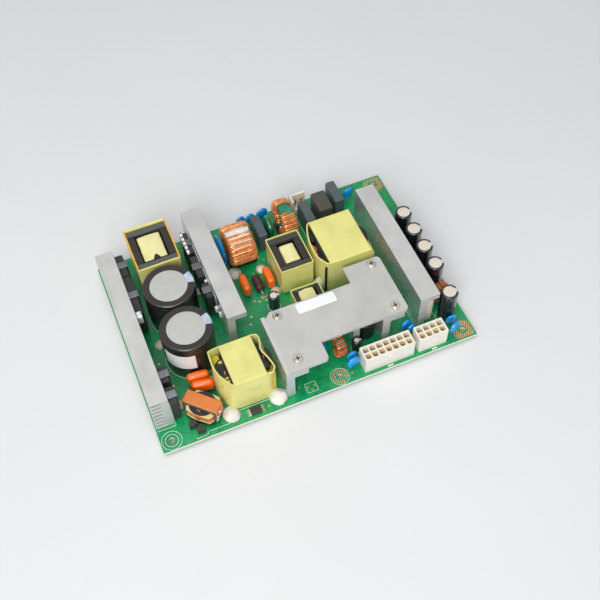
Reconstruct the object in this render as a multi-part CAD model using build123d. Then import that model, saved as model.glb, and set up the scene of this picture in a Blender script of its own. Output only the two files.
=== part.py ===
from build123d import *
import os
from math import cos, degrees, radians, sin

# An open frame power supply: one circuit board with all its parts standing on top.
# The origin is the middle of the board at the lowest lead tips. X runs along the board,
# Y from its front edge, where the output headers are, to its back edge, and Z is up.

# Circuit board
board_length = 190.0
board_width = 133.0
board_thickness = 1.6
board_corner_radius = 0.8
mount_hole_radius = 1.75
mount_hole_inset_x = 6.35
mount_hole_inset_y = 5.8
middle_hole_x_share = 0.557
lead_tip_length = 2.4
board_top = lead_tip_length + board_thickness

# Heatsinks, cut from three aluminium extrusions
heatsink_height = 28.0
heatsink_pin_width = 1.6
heatsink_pin_insert = 5.0
heatsink_pin_inset = 7.0
pin_hole_clearance = 0.15
left_heatsink_width = 10.4
left_heatsink_web = 4.2
left_heatsink_fin_thickness = 1.6
left_heatsink_fin_count = 8
left_heatsink_length = 105.6
left_heatsink_edge_gap = 0.7
left_heatsink_y_share = 0.51
angle_web = 4.7
angle_flange_thickness = 4.4
angle_inner_radius = 0.8
middle_heatsink_width = 11.8
middle_heatsink_length = 81.8
middle_heatsink_place_share = (0.298, 0.681)
right_heatsink_width = 12.0
right_heatsink_length = 88.0
right_heatsink_place_share = (0.8432, 0.466)
flange_slot_height = 1.0
flange_slot_depth = 5.5

# Cover plate and the brackets that carry it
cover_front_gap = 5.3
cover_transformer_gap = 2.3
cover_heatsink_gap = 7.4
cover_thickness = 2.0
cover_depth = 40.7
cover_tab_length = 22.6
cover_tab_depth = 12.0
cover_step_length = 22.8
cover_step_depth = 11.3
cover_corner_radius = 2.4
cover_chamfer = 3.4
bracket_height = 23.2
bracket_lip_width = 2.6
left_bracket_width = 12.9
right_bracket_width = 13.4
right_bracket_inset = 2.4
middle_bracket_web = 4.0
middle_bracket_x_share = 0.613
middle_bracket_inset = 4.8
screw_inset_x = 6.6
screw_front_inset = 6.4
screw_back_inset = 4.4
screw_head_radius = 2.7
screw_head_height = 1.7
screw_shank_radius = 1.5
screw_shank_length = 6.0
screw_hole_clearance = 0.25
screw_recess_width = 0.7
screw_recess_length = 3.0
screw_recess_depth = 0.9

# Electrolytic capacitors: an aluminium can in a shrink sleeve that turns in over the top
sleeve_thickness = 0.3
bulk_can_radius = 14.6
bulk_can_height = 29.6
bulk_sleeve_lip = 3.7
bulk_edge = 1.4
bulk_place_share = (0.1777, 0.391)
bulk_gap = 0.7
output_can_radius = 4.75
output_can_height = 24.6
output_sleeve_lip = 0.9
output_edge = 0.6
output_capacitor_count = 4
output_first_place_share = (0.952, 0.299)
output_pitch = 13.7
output_single_place_share = (0.942, 0.1414)
small_can_radius = 3.15
small_can_height = 11.5
small_first_place_share = (0.4711, 0.485)
small_second_x_share = 0.6411
small_second_size_share = 0.79
small_bracket_gap = 0.5

# Upright transformers: vertical core legs, winding bulging out at both sides of the core
core_gap = 0.1
tape_thickness = 0.4
tape_clearance = 0.05
winding_clearance = 0.3
bobbin_wall = 1.0
transformer_stand_off = 1.8
front_core_length = 25.4
front_core_width = 18.9
front_core_height = 25.4
front_winding_span = 32.6
front_place_share = (0.2917, 0.1675)
large_core_length = 31.8
large_core_width = 26.4
large_core_height = 25.4
large_winding_span = 35.0
large_x_share = 0.7232
large_bracket_gap = 4.8
driver_core_length = 20.4
driver_core_width = 8.2
driver_core_height = 10.8
driver_winding_span = 14.6
driver_place_share = (0.1487, 0.1143)
driver_turn_angle = 45.0

# Flat transformers: level core halves that meet in the middle, taped round their rim
rim_height = 0.8
rear_core_length = 30.0
rear_core_width = 24.6
rear_core_height = 25.4
rear_winding_width = 14.2
rear_place_share = (0.1779, 0.8692)
centre_core_length = 25.0
centre_core_width = 19.2
centre_core_height = 20.0
centre_winding_width = 9.6
centre_place_share = (0.5653, 0.6248)
small_core_length = 10.4
small_core_width = 16.4
small_core_height = 12.0
small_winding_width = 11.4
small_transformer_place_share = (0.5661, 0.4210)
core_bar_share = 0.165
slim_bar_share = 0.12
upright_pin_count = 5
flat_pin_count = 4
winding_side_gap = 1.0
winding_build = 2.0
winding_sink = 0.5
flange_thickness = 1.0

# Common-mode chokes: rings on edge, each with two windings
choke_core_radius = 11.6
choke_core_bore = 6.4
choke_edge = 1.0
choke_wire = 1.2
choke_wire_clearance = 0.06
turn_join_share = 0.95
left_choke_fill_angle = 162.0
left_choke_gap_angle = 0.0
right_choke_fill_angle = 150.0
right_choke_gap_angle = 8.0
choke_base_floor = 0.8
choke_base_height = 3.4
choke_base_length = 15.0
left_choke_core_width = 14.8
left_choke_place_share = (0.4395, 0.8008)
right_choke_core_width = 7.6
right_choke_place_share = (0.6126, 0.8496)

# Output chokes: small rings on edge with one winding
output_choke_radius = 7.2
output_choke_bore = 3.4
output_choke_width = 5.0
output_choke_wire = 0.9
output_choke_fill_angle = 256.0
front_choke_place_share = (0.5858, 0.1654)
front_choke_gap_angle = 30.0
side_choke_place_share = (0.9421, 0.2211)

# Output headers: a row of square sockets, each around a contact pin
header_pitch = 4.2
header_depth = 9.6
header_height = 12.8
header_wall_end = 2.7
header_floor = 2.6
header_corner_radius = 0.5
socket_width = 3.2
socket_corner = 0.7
contact_width = 1.1
contact_top_gap = 3.2
contact_point = 0.35
latch_width = 3.4
latch_height = 2.6
latch_depth = 0.9
latch_drop = 3.4
wide_header_columns = 7
narrow_header_columns = 4
header_front_gap = 2.1
wide_header_x_share = 0.7113
narrow_header_x_share = 0.8542

# Inlet header at the back edge: a low base with a locking wall and an end wall
inlet_length = 10.6
inlet_depth = 7.0
inlet_base_height = 3.4
inlet_wall_height = 11.6
inlet_wall_thickness = 1.6
inlet_pin_height = 9.6
inlet_pitch = 3.96
inlet_pin_count = 2
inlet_back_gap = 1.6
inlet_x_share = 0.6915

# Moulded and dipped parts
box_capacitor_size = (6.0, 17.2, 15.0)
box_edge_radius = 0.6
box_capacitor_place_shares = ((0.5232, 0.8556), (0.6895, 0.8490), (0.8063, 0.9050))
relay_size = (9.4, 15.6, 14.6)
relay_edge_radius = 0.8
relay_place_share = (0.7521, 0.8797)
lead_width = 0.6
disc_thinnest = 1.9
disc_thickness_share = 0.15
disc_stand_off = 2.0
# each disc: place along and across the board, turn about the vertical, radius as a share of the large one
disc_large_radius = 10.0
disc_table_shares = (
    (0.3800, 0.8050, 90.0, 1.0), (0.5605, 0.9640, 15.0, 0.45), (0.5200, 0.9690, 15.0, 0.34),
    (0.4870, 0.9710, 15.0, 0.34), (0.8600, 0.9200, 10.0, 0.40), (0.6126, 0.0960, 10.0, 0.34),
    (0.6060, 0.0610, 10.0, 0.43), (0.8060, 0.1430, 15.0, 0.37), (0.8165, 0.1180, 15.0, 0.34),
    (0.9400, 0.0900, 0.0, 0.36), (0.9374, 0.0470, 20.0, 0.42), (0.5510, 0.1850, 60.0, 0.30))
varistor_radius = 7.2
varistor_thickness = 4.4
varistor_place_share = (0.5580, 0.8650)
film_length = 12.8
film_thickness = 5.0
film_height = 8.6
film_edge = 1.7
film_stand_off = 2.2
film_table_shares = (
    (0.4085, 0.6120, 90.0), (0.4880, 0.6090, 90.0), (0.1663, 0.2511, -4.0), (0.1705, 0.2075, -8.0))
resistor_radius = 2.8
resistor_length = 10.4
resistor_lift = 0.6
resistor_place_share = (0.4520, 0.6120)
drum_radius = 5.2
drum_height = 13.0
drum_edge = 0.4
drum_bracket_gap = 0.7
drum_y_share = 0.2020

# Power semiconductors held to the heatsinks by spring clips
insulator_thickness = 0.3
insulator_margin = 1.6
insulator_lift = 4.5
package_thickness = 4.6
package_height = 18.6
package_lift = 3.2
package_lead_width = 1.2
package_lead_thickness = 0.6
package_edge = 0.5
large_package_width = 15.8
small_package_width = 10.2
bridge_package_width = 28.0
left_package_y_shares = (0.8460, 0.6770, 0.2540, 0.1540)
middle_package_y_shares = (0.8500, 0.7100, 0.5750)
right_package_y_shares = (0.7000, 0.5400, 0.3700, 0.1950)
clip_thickness = 0.8
clip_width = 4.4
clip_lift = 10.0

# Small parts on the board
chip_size = (4.4, 6.0, 1.6)
chip_stand_off = 0.2
chip_lead_count = 4
chip_lead_width = 0.5
chip_lead_reach = 1.1
chip_edge = 0.3
chip_place_share = (0.2874, 0.0335)
small_transistor_radius = 2.3
small_transistor_height = 4.6
small_transistor_flat_share = 0.45
small_transistor_place_shares = ((0.1047, 0.0647), (0.1211, 0.0323))

# Adhesive dabs: place along and across the board, radius as a share of the largest
dab_radius = 5.2
dab_height_share = 0.8
dab_table_shares = (
    (0.2190, 0.0540, 0.95), (0.3640, 0.0560, 1.0), (0.4030, 0.7260, 0.80), (0.6310, 0.5080, 0.70),
    (0.4840, 0.6960, 0.62), (0.4950, 0.5520, 0.62), (0.0890, 0.1830, 0.60), (0.0980, 0.4920, 0.62),
    (0.2020, 0.2380, 0.60), (0.2730, 0.6900, 0.48))

# Solder joints under the board
joint_radius = 1.1
joint_height = 2.0
joint_taper_angle = 20.0
joint_side_count = 4

overrun = 1.0
snap = 0.01
STANDING = (Align.CENTER, Align.CENTER, Align.MIN)
joint_places = []


def spot(shares):
    """The place on the board at these shares of its length and width."""
    return (shares[0] - 1 / 2) * board_length, (shares[1] - 1 / 2) * board_width


def turned(x, y, angle, centre):
    """A place given from a part's own centre, turned with the part."""
    c = cos(radians(angle))
    s = sin(radians(angle))
    return centre[0] + x * c - y * s, centre[1] + x * s + y * c


def block(size_x, size_y, size_z, x=0, y=0, z=0):
    return Pos(x, y, z) * Box(size_x, size_y, size_z, align=STANDING)


def post(radius, height, x=0, y=0, z=0):
    return Pos(x, y, z) * Cylinder(radius, height, align=STANDING)


def along_y(profile, length):
    """An extrusion along Y of a profile whose own Y becomes Z."""
    return Rot(90, 0, 0) * extrude(profile, amount=length / 2, both=True)


def along_x(profile, length):
    """An extrusion along X of a profile whose own X becomes Y and own Y becomes Z."""
    return Rot(0, 0, 90) * along_y(profile, length)


def near(value, target):
    """True where two lengths of a profile are the same."""
    return abs(value - target) < snap


def save(name, *shapes):
    """Write one node, as one solid or as a group of separate solids."""
    solids = [solid for shape in shapes for solid in shape.solids()]
    whole = solids[0] if len(solids) == 1 else Compound(children=solids)
    export_step(whole, os.path.join("parts", name + ".step"))


def lead(x, y, top):
    """A lead from the board's face up to a part, with its solder joint."""
    joint_places.append((x, y))
    return block(lead_width, lead_width, top - board_top, x, y, board_top)


# Heatsinks
def finned_profile():
    web = Rectangle(left_heatsink_web, heatsink_height, align=(Align.MAX, Align.MIN))
    profile = Pos(left_heatsink_width, 0) * web
    pitch = (heatsink_height - left_heatsink_fin_thickness) / (left_heatsink_fin_count - 1)
    fin = Rectangle(left_heatsink_width, left_heatsink_fin_thickness, align=(Align.MIN, Align.MIN))
    for index in range(left_heatsink_fin_count):
        profile += Pos(0, index * pitch) * fin
    return profile


def angle_profile(width, height, slot=False):
    """An upright web with a thick flange to the right of its top, and a slot in the flange's edge."""
    web = Rectangle(angle_web, height, align=(Align.MIN, Align.MIN))
    flange = Rectangle(width, angle_flange_thickness, align=(Align.MIN, Align.MAX))
    profile = web + Pos(0, height) * flange
    under = height - angle_flange_thickness
    inner = profile.vertices().filter_by(lambda v: near(v.X, angle_web) and near(v.Y, under))
    profile = fillet(inner, angle_inner_radius)
    if slot:
        cut = Rectangle(flange_slot_depth + overrun, flange_slot_height, align=(Align.MAX, Align.CENTER))
        profile -= Pos(width + overrun, height - angle_flange_thickness / 2) * cut
    return profile


def heatsink_pins(x, y, length):
    """Two square steel pins pressed into the web's foot, one near each end."""
    reach = length / 2 - heatsink_pin_inset
    height = board_top + heatsink_pin_insert
    places = ((x, y - reach), (x, y + reach))
    return places, [block(heatsink_pin_width, heatsink_pin_width, height, px, py) for px, py in places]


def carrier(profile, length, x, y, web_middle):
    """One extrusion standing on the board, drilled for the two pins in its foot."""
    places, pins = heatsink_pins(x + web_middle, y, length)
    solid = Pos(x, y, board_top) * along_y(profile, length)
    for px, py in places:
        solid -= block(heatsink_pin_width, heatsink_pin_width, heatsink_pin_insert, px, py, board_top)
    return solid, places, pins


left_heatsink_x = left_heatsink_edge_gap - board_length / 2
left_heatsink_y = spot((0, left_heatsink_y_share))[1]
left_face = left_heatsink_x + left_heatsink_width
middle_heatsink_x, middle_heatsink_y = spot(middle_heatsink_place_share)
right_heatsink_x, right_heatsink_y = spot(right_heatsink_place_share)
left_heatsink, left_pin_places, left_pins = carrier(
    finned_profile(), left_heatsink_length, left_heatsink_x, left_heatsink_y,
    left_heatsink_width - left_heatsink_web / 2)
middle_heatsink, middle_pin_places, middle_pins = carrier(
    angle_profile(middle_heatsink_width, heatsink_height), middle_heatsink_length,
    middle_heatsink_x, middle_heatsink_y, angle_web / 2)
right_heatsink, right_pin_places, right_pins = carrier(
    angle_profile(right_heatsink_width, heatsink_height, slot=True), right_heatsink_length,
    right_heatsink_x, right_heatsink_y, angle_web / 2)

# Cover plate, from the front transformer to the right heatsink, measured from its front left corner
cover_x = spot(front_place_share)[0] + front_winding_span / 2 + cover_transformer_gap + bracket_lip_width
cover_y = cover_front_gap - board_width / 2
cover_bottom = board_top + bracket_height
cover_right = right_heatsink_x - cover_heatsink_gap
cover_length = cover_right - cover_x
cover_back = cover_y + cover_depth
screw_left_x = cover_x + screw_inset_x
screw_right_x = cover_right - screw_inset_x
screw_places = (
    (screw_left_x, cover_y + screw_front_inset),
    (screw_left_x, cover_back - screw_back_inset),
    (screw_right_x, cover_y + cover_tab_depth + screw_back_inset),
    (screw_right_x, cover_back + cover_step_depth - screw_back_inset))


def cover_plate():
    corner = (Align.MIN, Align.MIN)
    outline = Rectangle(cover_tab_length, cover_depth, align=corner)
    outline += Pos(0, cover_tab_depth) * Rectangle(cover_length, cover_depth - cover_tab_depth, align=corner)
    step = Rectangle(cover_step_length, cover_step_depth + cover_depth - cover_tab_depth, align=corner)
    outline += Pos(cover_length - cover_step_length, cover_tab_depth) * step
    back_left = outline.vertices().filter_by(lambda v: near(v.X, 0) and near(v.Y, cover_depth))
    outline = chamfer(back_left, cover_chamfer)
    right = outline.vertices().filter_by(lambda v: near(v.X, cover_length))
    outline = fillet(right, cover_corner_radius)
    tab = outline.vertices().filter_by(lambda v: near(v.X, cover_tab_length) and near(v.Y, 0))
    outline = fillet(tab, cover_corner_radius)
    plate = Pos(cover_x, cover_y, cover_bottom) * extrude(outline, amount=cover_thickness)
    for x, y in screw_places:
        plate -= post(screw_shank_radius + screw_hole_clearance, cover_thickness, x, y, cover_bottom)
    return plate


def tapped(bracket):
    """Drill a bracket for the screws that stand over it."""
    for x, y in screw_places:
        bracket -= post(screw_shank_radius, screw_shank_length, x, y, cover_bottom - screw_shank_length)
    return bracket


def left_bracket_profile():
    lip = Rectangle(bracket_lip_width, bracket_height + cover_thickness, align=(Align.MIN, Align.MIN))
    return angle_profile(left_bracket_width, bracket_height) + lip


def cover_screw():
    radius = screw_head_radius
    dome = [(0, 0), (radius, 0), (radius, screw_head_height / 2), (radius * 3 / 4, screw_head_height),
            (0, screw_head_height)]
    head = revolve(Rot(90, 0, 0) * Polygon(*dome, align=None), Axis.Z)
    recess_bottom = screw_head_height - screw_recess_depth
    head -= block(screw_recess_length, screw_recess_width, screw_recess_depth, z=recess_bottom)
    head -= block(screw_recess_width, screw_recess_length, screw_recess_depth, z=recess_bottom)
    shank = screw_shank_length + cover_thickness
    return head + post(screw_shank_radius, shank, z=-shank)


left_bracket_length = cover_depth - cover_chamfer / 2
left_bracket_x = cover_x - bracket_lip_width
left_bracket_y = cover_y + left_bracket_length / 2
right_bracket_length = cover_depth + cover_step_depth - cover_tab_depth
right_bracket_x = cover_right - right_bracket_inset - right_bracket_width
right_bracket_y = cover_y + cover_tab_depth + right_bracket_length / 2
middle_bracket_length = cover_depth - cover_tab_depth - middle_bracket_inset
middle_bracket_x = cover_x + cover_length * middle_bracket_x_share
middle_bracket_y = cover_back - middle_bracket_length / 2
left_bracket, left_foot_places, left_feet = carrier(
    left_bracket_profile(), left_bracket_length, left_bracket_x, left_bracket_y, angle_web / 2)
right_bracket, right_foot_places, right_feet = carrier(
    angle_profile(right_bracket_width, bracket_height, slot=True), right_bracket_length,
    right_bracket_x, right_bracket_y, angle_web / 2)
middle_bracket = block(middle_bracket_web, middle_bracket_length, bracket_height,
                       middle_bracket_x, middle_bracket_y, board_top)
middle_foot_places, middle_feet = heatsink_pins(middle_bracket_x, middle_bracket_y, middle_bracket_length)
for px, py in middle_foot_places:
    middle_bracket -= block(heatsink_pin_width, heatsink_pin_width, heatsink_pin_insert, px, py, board_top)
pin_places = (left_pin_places + middle_pin_places + right_pin_places
              + left_foot_places + right_foot_places + middle_foot_places)


# Electrolytic capacitors
def capacitor(radius, height, lip, edge, x, y):
    """A can with a bevelled top edge, and the sleeve round it that turns in over the top."""
    outer = radius + sleeve_thickness
    can = post(radius, height, x, y, board_top)
    can = chamfer(can.edges().group_by(Axis.Z)[-1], edge)
    sleeve = post(outer, height + sleeve_thickness, x, y, board_top)
    sleeve = chamfer(sleeve.edges().group_by(Axis.Z)[-1], edge + sleeve_thickness)
    sleeve -= can
    sleeve -= post(radius - lip, sleeve_thickness + overrun, x, y, board_top + height - overrun / 2)
    return can, sleeve


def capacitor_joints(x, y, spread):
    joint_places.append((x - spread, y))
    joint_places.append((x + spread, y))


bulk_x, bulk_y = spot(bulk_place_share)
bulk_pitch = 2 * (bulk_can_radius + sleeve_thickness) + bulk_gap
bulk_places = [(bulk_x, bulk_y), (bulk_x, bulk_y + bulk_pitch)]
output_x, output_y = spot(output_first_place_share)
output_places = [(output_x, output_y + index * output_pitch) for index in range(output_capacitor_count)]
output_places.append(spot(output_single_place_share))


def capacitors(places, radius, height, lip, edge):
    pairs = [capacitor(radius, height, lip, edge, x, y) for x, y in places]
    for x, y in places:
        capacitor_joints(x, y, radius / 2)
    return [can for can, sleeve in pairs], [sleeve for can, sleeve in pairs]


# Transformers
def put(shape, centre, angle=0):
    return Pos(centre[0], centre[1], board_top) * Rot(0, 0, angle) * shape


def e_profile(length, half, bar):
    """One core half seen from its side: a bar with two outer legs and a double centre leg."""
    window = Rectangle(length / 2 - 2 * bar, half - bar, align=(Align.MIN, Align.MIN))
    profile = Rectangle(length, half, align=(Align.CENTER, Align.MIN))
    profile -= Pos(bar, bar) * window
    return profile - Pos(bar - length / 2, bar) * window


def rounded_slab(size_x, size_y, thickness, z):
    outline = RectangleRounded(size_x, size_y, min(size_x, size_y) / 2 - snap)
    return Pos(0, 0, z) * extrude(outline, amount=thickness)


def upright_transformer(length, width, height, span, bar_share, wrapped):
    """Core halves, bobbin, winding and tapes of a transformer whose core legs stand upright."""
    bar = length * bar_share
    floor = transformer_stand_off
    lower = along_x(e_profile(length, (height - core_gap) / 2, bar), width)
    upper = Pos(0, 0, height + floor) * Rot(180, 0, 0) * lower
    lower = Pos(0, 0, floor) * lower
    low = floor + bar
    high = floor + height - bar
    depth = length - 2 * bar - 2 * winding_clearance
    flange = rounded_slab(span, depth, flange_thickness, low)
    tube = block(width + 2 * bobbin_wall, 2 * bar + 2 * bobbin_wall, high - low, z=low)
    bobbin = flange + Pos(0, 0, high - low - flange_thickness) * flange + tube
    bobbin += rounded_slab(span, depth, low, 0) - block(width + 2 * winding_clearance, depth, low)
    foot_x = (width + span) / 4
    bobbin -= block(width, 2 * bar, high - low, z=low)
    winding = rounded_slab(span - winding_clearance, depth - winding_clearance,
                           high - low - 2 * flange_thickness, low + flange_thickness) - tube
    band_profile = Rectangle(length + 2 * tape_thickness, height + 2 * tape_thickness)
    band = along_x(band_profile - Rectangle(length, height), width)
    tapes = [Pos(0, 0, floor + height / 2) * band]
    if wrapped:
        inner_x = width + 2 * tape_clearance
        inner_y = length + 2 * (tape_thickness + tape_clearance)
        bulge = RectangleRounded(span + 2 * tape_clearance, depth, depth / 2 - snap)
        inner = make_hull((Rectangle(inner_x, inner_y) + bulge).edges())
        wall = offset(inner, tape_thickness) - inner
        tapes.append(Pos(0, 0, tape_thickness) * extrude(wall, amount=floor + height - tape_thickness))
    return [lower, upper], bobbin, winding, tapes, foot_x, depth


def flat_transformer(length, width, height, winding_width):
    """Core halves, bobbin, winding and tape of a transformer whose core lies level."""
    floor = transformer_stand_off
    bar = (width - winding_width) / 2 - winding_side_gap
    leg = winding_width - 2 * (winding_build + bobbin_wall)
    leg_height = height - 2 * (winding_sink + winding_build + bobbin_wall)
    half = (length - core_gap) / 2
    middle = floor + height / 2
    frame = Rectangle(width, half, align=(Align.CENTER, Align.MIN))
    frame -= Pos(0, bar) * Rectangle(width - 2 * bar, half - bar, align=(Align.CENTER, Align.MIN))
    core = Pos(0, -length / 2, floor) * extrude(frame, amount=height)
    core += block(leg, half - bar, leg_height, 0, -(half - bar + core_gap) / 2, middle - leg_height / 2)
    other = Rot(0, 0, 180) * core
    inside = length - 2 * bar
    tube_height = leg_height + 2 * bobbin_wall
    tube = block(leg + 2 * bobbin_wall, inside, tube_height, z=middle - tube_height / 2)
    bobbin = tube
    wound_height = height - 2 * winding_sink
    for side in (-1, 1):
        y = side * (inside - flange_thickness) / 2
        bobbin += block(winding_width, flange_thickness, floor + height - winding_sink, 0, y)
        foot_y = side * (length - bar - flange_thickness) / 2
        bobbin += block(width, bar + flange_thickness, floor, 0, foot_y)
    bobbin -= block(leg, length, leg_height, z=middle - leg_height / 2)
    wound = RectangleRounded(winding_width, wound_height, winding_build)
    winding = along_y(wound, inside - 2 * flange_thickness)
    winding = Pos(0, 0, middle) * winding - tube
    ring = RectangleRounded(width + 2 * tape_thickness, length + 2 * tape_thickness, tape_thickness)
    ring -= Rectangle(width, length)
    tape = Pos(0, 0, floor / 2) * extrude(ring, amount=floor / 2 + height + rim_height)
    return [core, other], bobbin, winding, [tape]


def pin_joints(centre, angle, places):
    for x, y in places:
        joint_places.append(turned(x, y, angle, centre))


def rows(reach_x, reach_y, count):
    """Two rows of pins at plus and minus reach_x, spread evenly over plus and minus reach_y."""
    steps = [2 * reach_y * index / (count - 1) - reach_y for index in range(count)]
    return [(side * reach_x, step) for side in (-1, 1) for step in steps]


def save_upright(name, centre, angle, length, width, height, span, bar_share=core_bar_share, wrapped=True):
    """Write the four nodes of an upright transformer and return its placed outer pieces."""
    core, bobbin, winding, tapes, foot_x, depth = upright_transformer(
        length, width, height, span, bar_share, wrapped)
    pin_joints(centre, angle, rows(foot_x, depth / 3, upright_pin_count))
    for part, shapes in (("core", core), ("bobbin", [bobbin]), ("winding", [winding]), ("tape", tapes)):
        save(name + "_" + part, *[put(shape, centre, angle) for shape in shapes])
    return [put(shape, centre, angle) for shape in [bobbin] + tapes]


def save_flat(name, shares, length, width, height, winding_width):
    centre = spot(shares)
    core, bobbin, winding, tapes = flat_transformer(length, width, height, winding_width)
    reach = (length - width * core_bar_share) / 2
    places = [(x, y) for y, x in rows(reach, width / 2 - winding_side_gap, flat_pin_count)]
    pin_joints(centre, 0, places)
    for part, shapes in (("core", core), ("bobbin", [bobbin]), ("winding", [winding]), ("tape", tapes)):
        save(name + "_" + part, *[put(shape, centre) for shape in shapes])


# Chokes
def ring_core(radius, bore, width, edge):
    ring = along_x(Circle(radius) - Circle(bore), width)
    return chamfer(ring.edges().filter_by(GeomType.CIRCLE), edge)


def ring_winding(radius, bore, width, wire, fill_angle, middle_angle):
    """Square turns round a ring's section, packed side by side in its bore so that they join."""
    pitch_angle = degrees(wire * turn_join_share / (bore - wire))
    count = round(fill_angle / pitch_angle)
    outer = Rectangle(radius - bore + 2 * wire, width + 2 * wire)
    outer = chamfer(outer.vertices(), wire)
    turn = outer - Rectangle(radius - bore + 2 * choke_wire_clearance, width)
    solid = Rot(0, 90, 0) * Rot(90, 0, 0) * extrude(turn, amount=wire / 2, both=True)
    solid = Pos(0, 0, (radius + bore) / 2) * solid
    first = middle_angle - pitch_angle * (count - 1) / 2
    turns = [Rot(first + pitch_angle * index, 0, 0) * solid for index in range(count)]
    return turns[0] + turns[1:]


def common_choke(width, centre, fill_angle, gap_angle):
    """A ring on edge with a winding on each side, in a cradle."""
    outer = choke_core_radius + choke_wire
    lift = board_top + choke_base_floor + winding_clearance + outer
    core = ring_core(choke_core_radius, choke_core_bore, width, choke_edge)
    windings = [ring_winding(choke_core_radius, choke_core_bore, width, choke_wire, fill_angle,
                             gap_angle + side * 90) for side in (-1, 1)]
    base = block(width + 2 * choke_wire, choke_base_length, choke_base_height, z=board_top)
    seat = along_x(Circle(outer + winding_clearance), width + 2 * choke_wire + overrun)
    base -= Pos(0, 0, lift) * seat
    where = Pos(centre[0], centre[1], 0)
    pin_joints(centre, 0, rows(width / 2, choke_base_length / 3, 2))
    return where * Pos(0, 0, lift) * core, [where * Pos(0, 0, lift) * w for w in windings], where * base


def output_choke(centre, axis_angle, gap_angle):
    outer = output_choke_radius + output_choke_wire
    where = Pos(centre[0], centre[1], board_top + outer) * Rot(0, 0, axis_angle)
    core = ring_core(output_choke_radius, output_choke_bore, output_choke_width, choke_edge)
    winding = ring_winding(output_choke_radius, output_choke_bore, output_choke_width, output_choke_wire,
                           output_choke_fill_angle, gap_angle)
    pin_joints(centre, axis_angle, [(0, -output_choke_radius / 2), (0, output_choke_radius / 2)])
    return where * core, where * winding


# Headers
header_y = header_front_gap + header_depth / 2 - board_width / 2
contact_places = []


def socket():
    outline = Rectangle(socket_width, socket_width)
    outline = chamfer(outline.vertices().group_by(Axis.Y)[-1], socket_corner)
    return extrude(outline, amount=header_height - header_floor + overrun)


def header_housing(columns, x_share):
    x = spot((x_share, 0))[0]
    length = (columns - 1) * header_pitch + 2 * header_wall_end
    housing = block(length, header_depth, header_height)
    housing = fillet(housing.edges().filter_by(Axis.Z), header_corner_radius)
    ramp = [(0, 0), (latch_depth, 0), (0, latch_height)]
    latch = along_x(Polygon(*ramp, align=None), latch_width)
    front = -header_depth / 2
    housing += Pos(0, front, header_height - latch_drop) * Rot(0, 0, 180) * latch
    opening = socket()
    for column in range(columns):
        across = (column - (columns - 1) / 2) * header_pitch
        for row in (-1, 1):
            along = row * header_pitch / 2
            housing -= Pos(across, along, header_floor) * Rot(0, 0, 90 - row * 90) * opening
            housing -= block(contact_width, contact_width, header_floor, across, along)
            contact_places.append((x + across, header_y + along))
    return Pos(x, header_y, board_top) * housing


def contact(x, y, top):
    """A square pin from the board's face up into its socket, with a tapered point."""
    pin = block(contact_width, contact_width, top, x, y, board_top)
    joint_places.append((x, y))
    return chamfer(pin.faces().sort_by(Axis.Z)[-1].edges(), contact_point)


inlet_x = spot((inlet_x_share, 0))[0]
inlet_y = board_width / 2 - inlet_back_gap - inlet_depth / 2
inlet_contacts = [(inlet_x + (index - (inlet_pin_count - 1) / 2) * inlet_pitch, inlet_y)
                  for index in range(inlet_pin_count)]


def inlet_housing():
    housing = block(inlet_length, inlet_depth, inlet_base_height)
    back = (inlet_depth - inlet_wall_thickness) / 2
    side = (inlet_wall_thickness - inlet_length) / 2
    housing += block(inlet_length, inlet_wall_thickness, inlet_wall_height, 0, back)
    housing += block(inlet_wall_thickness, inlet_depth, inlet_wall_height, side)
    housing = Pos(inlet_x, inlet_y, board_top) * housing
    for x, y in inlet_contacts:
        housing -= block(contact_width, contact_width, inlet_base_height, x, y, board_top)
    return housing


# Dipped and moulded parts
def moulded_box(size, edge, shares):
    x, y = spot(shares)
    body = block(*size)
    body = chamfer(body.edges().group_by(Axis.Z)[-1] + body.edges().filter_by(Axis.Z), edge)
    joint_places.extend([(x, y - size[1] / 3), (x, y + size[1] / 3)])
    return Pos(x, y, board_top) * body


def dipped_disc(radius, thickness, centre, angle):
    """A lens-shaped body on edge, carried by two leads."""
    half = thickness / 2
    flat = radius * 2 / 3
    lens = [(0, -half), (flat, -half), (radius, -half / 3), (radius, half / 3), (flat, half), (0, half)]
    body = Rot(90, 0, 0) * revolve(Rot(90, 0, 0) * Polygon(*lens, align=None), Axis.Z)
    lift = board_top + disc_stand_off + radius
    shape = Pos(centre[0], centre[1], lift) * Rot(0, 0, angle) * body
    for side in (-1, 1):
        x, y = turned(side * radius / 2, 0, angle, centre)
        shape += lead(x, y, lift - radius / 2)
    return shape


def film_capacitor(shares):
    centre = spot(shares)
    angle = shares[2]
    body = Box(film_length, film_thickness, film_height)
    body = chamfer(body.edges(), film_edge)
    lift = board_top + film_stand_off + film_height / 2
    shape = Pos(centre[0], centre[1], lift) * Rot(0, 0, angle) * body
    for side in (-1, 1):
        x, y = turned(side * film_length / 4, 0, angle, centre)
        shape += lead(x, y, lift)
    return shape


def resistor():
    x, y = spot(resistor_place_share)
    lift = board_top + resistor_lift + resistor_radius
    body = along_y(Circle(resistor_radius), resistor_length)
    body = chamfer(body.edges().filter_by(GeomType.CIRCLE), resistor_lift)
    reach = resistor_length / 2 + resistor_radius
    wire = along_y(Rectangle(lead_width, lead_width), 2 * reach)
    shape = Pos(x, y, lift) * (body + wire)
    for side in (-1, 1):
        shape += lead(x, y + side * reach, lift + lead_width / 2)
    return shape


def drum():
    x = right_bracket_x - drum_bracket_gap - drum_radius
    y = spot((0, drum_y_share))[1]
    capacitor_joints(x, y, drum_radius / 2)
    body = post(drum_radius, drum_height, x, y, board_top)
    return chamfer(body.edges().group_by(Axis.Z)[-1], drum_edge)


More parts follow.
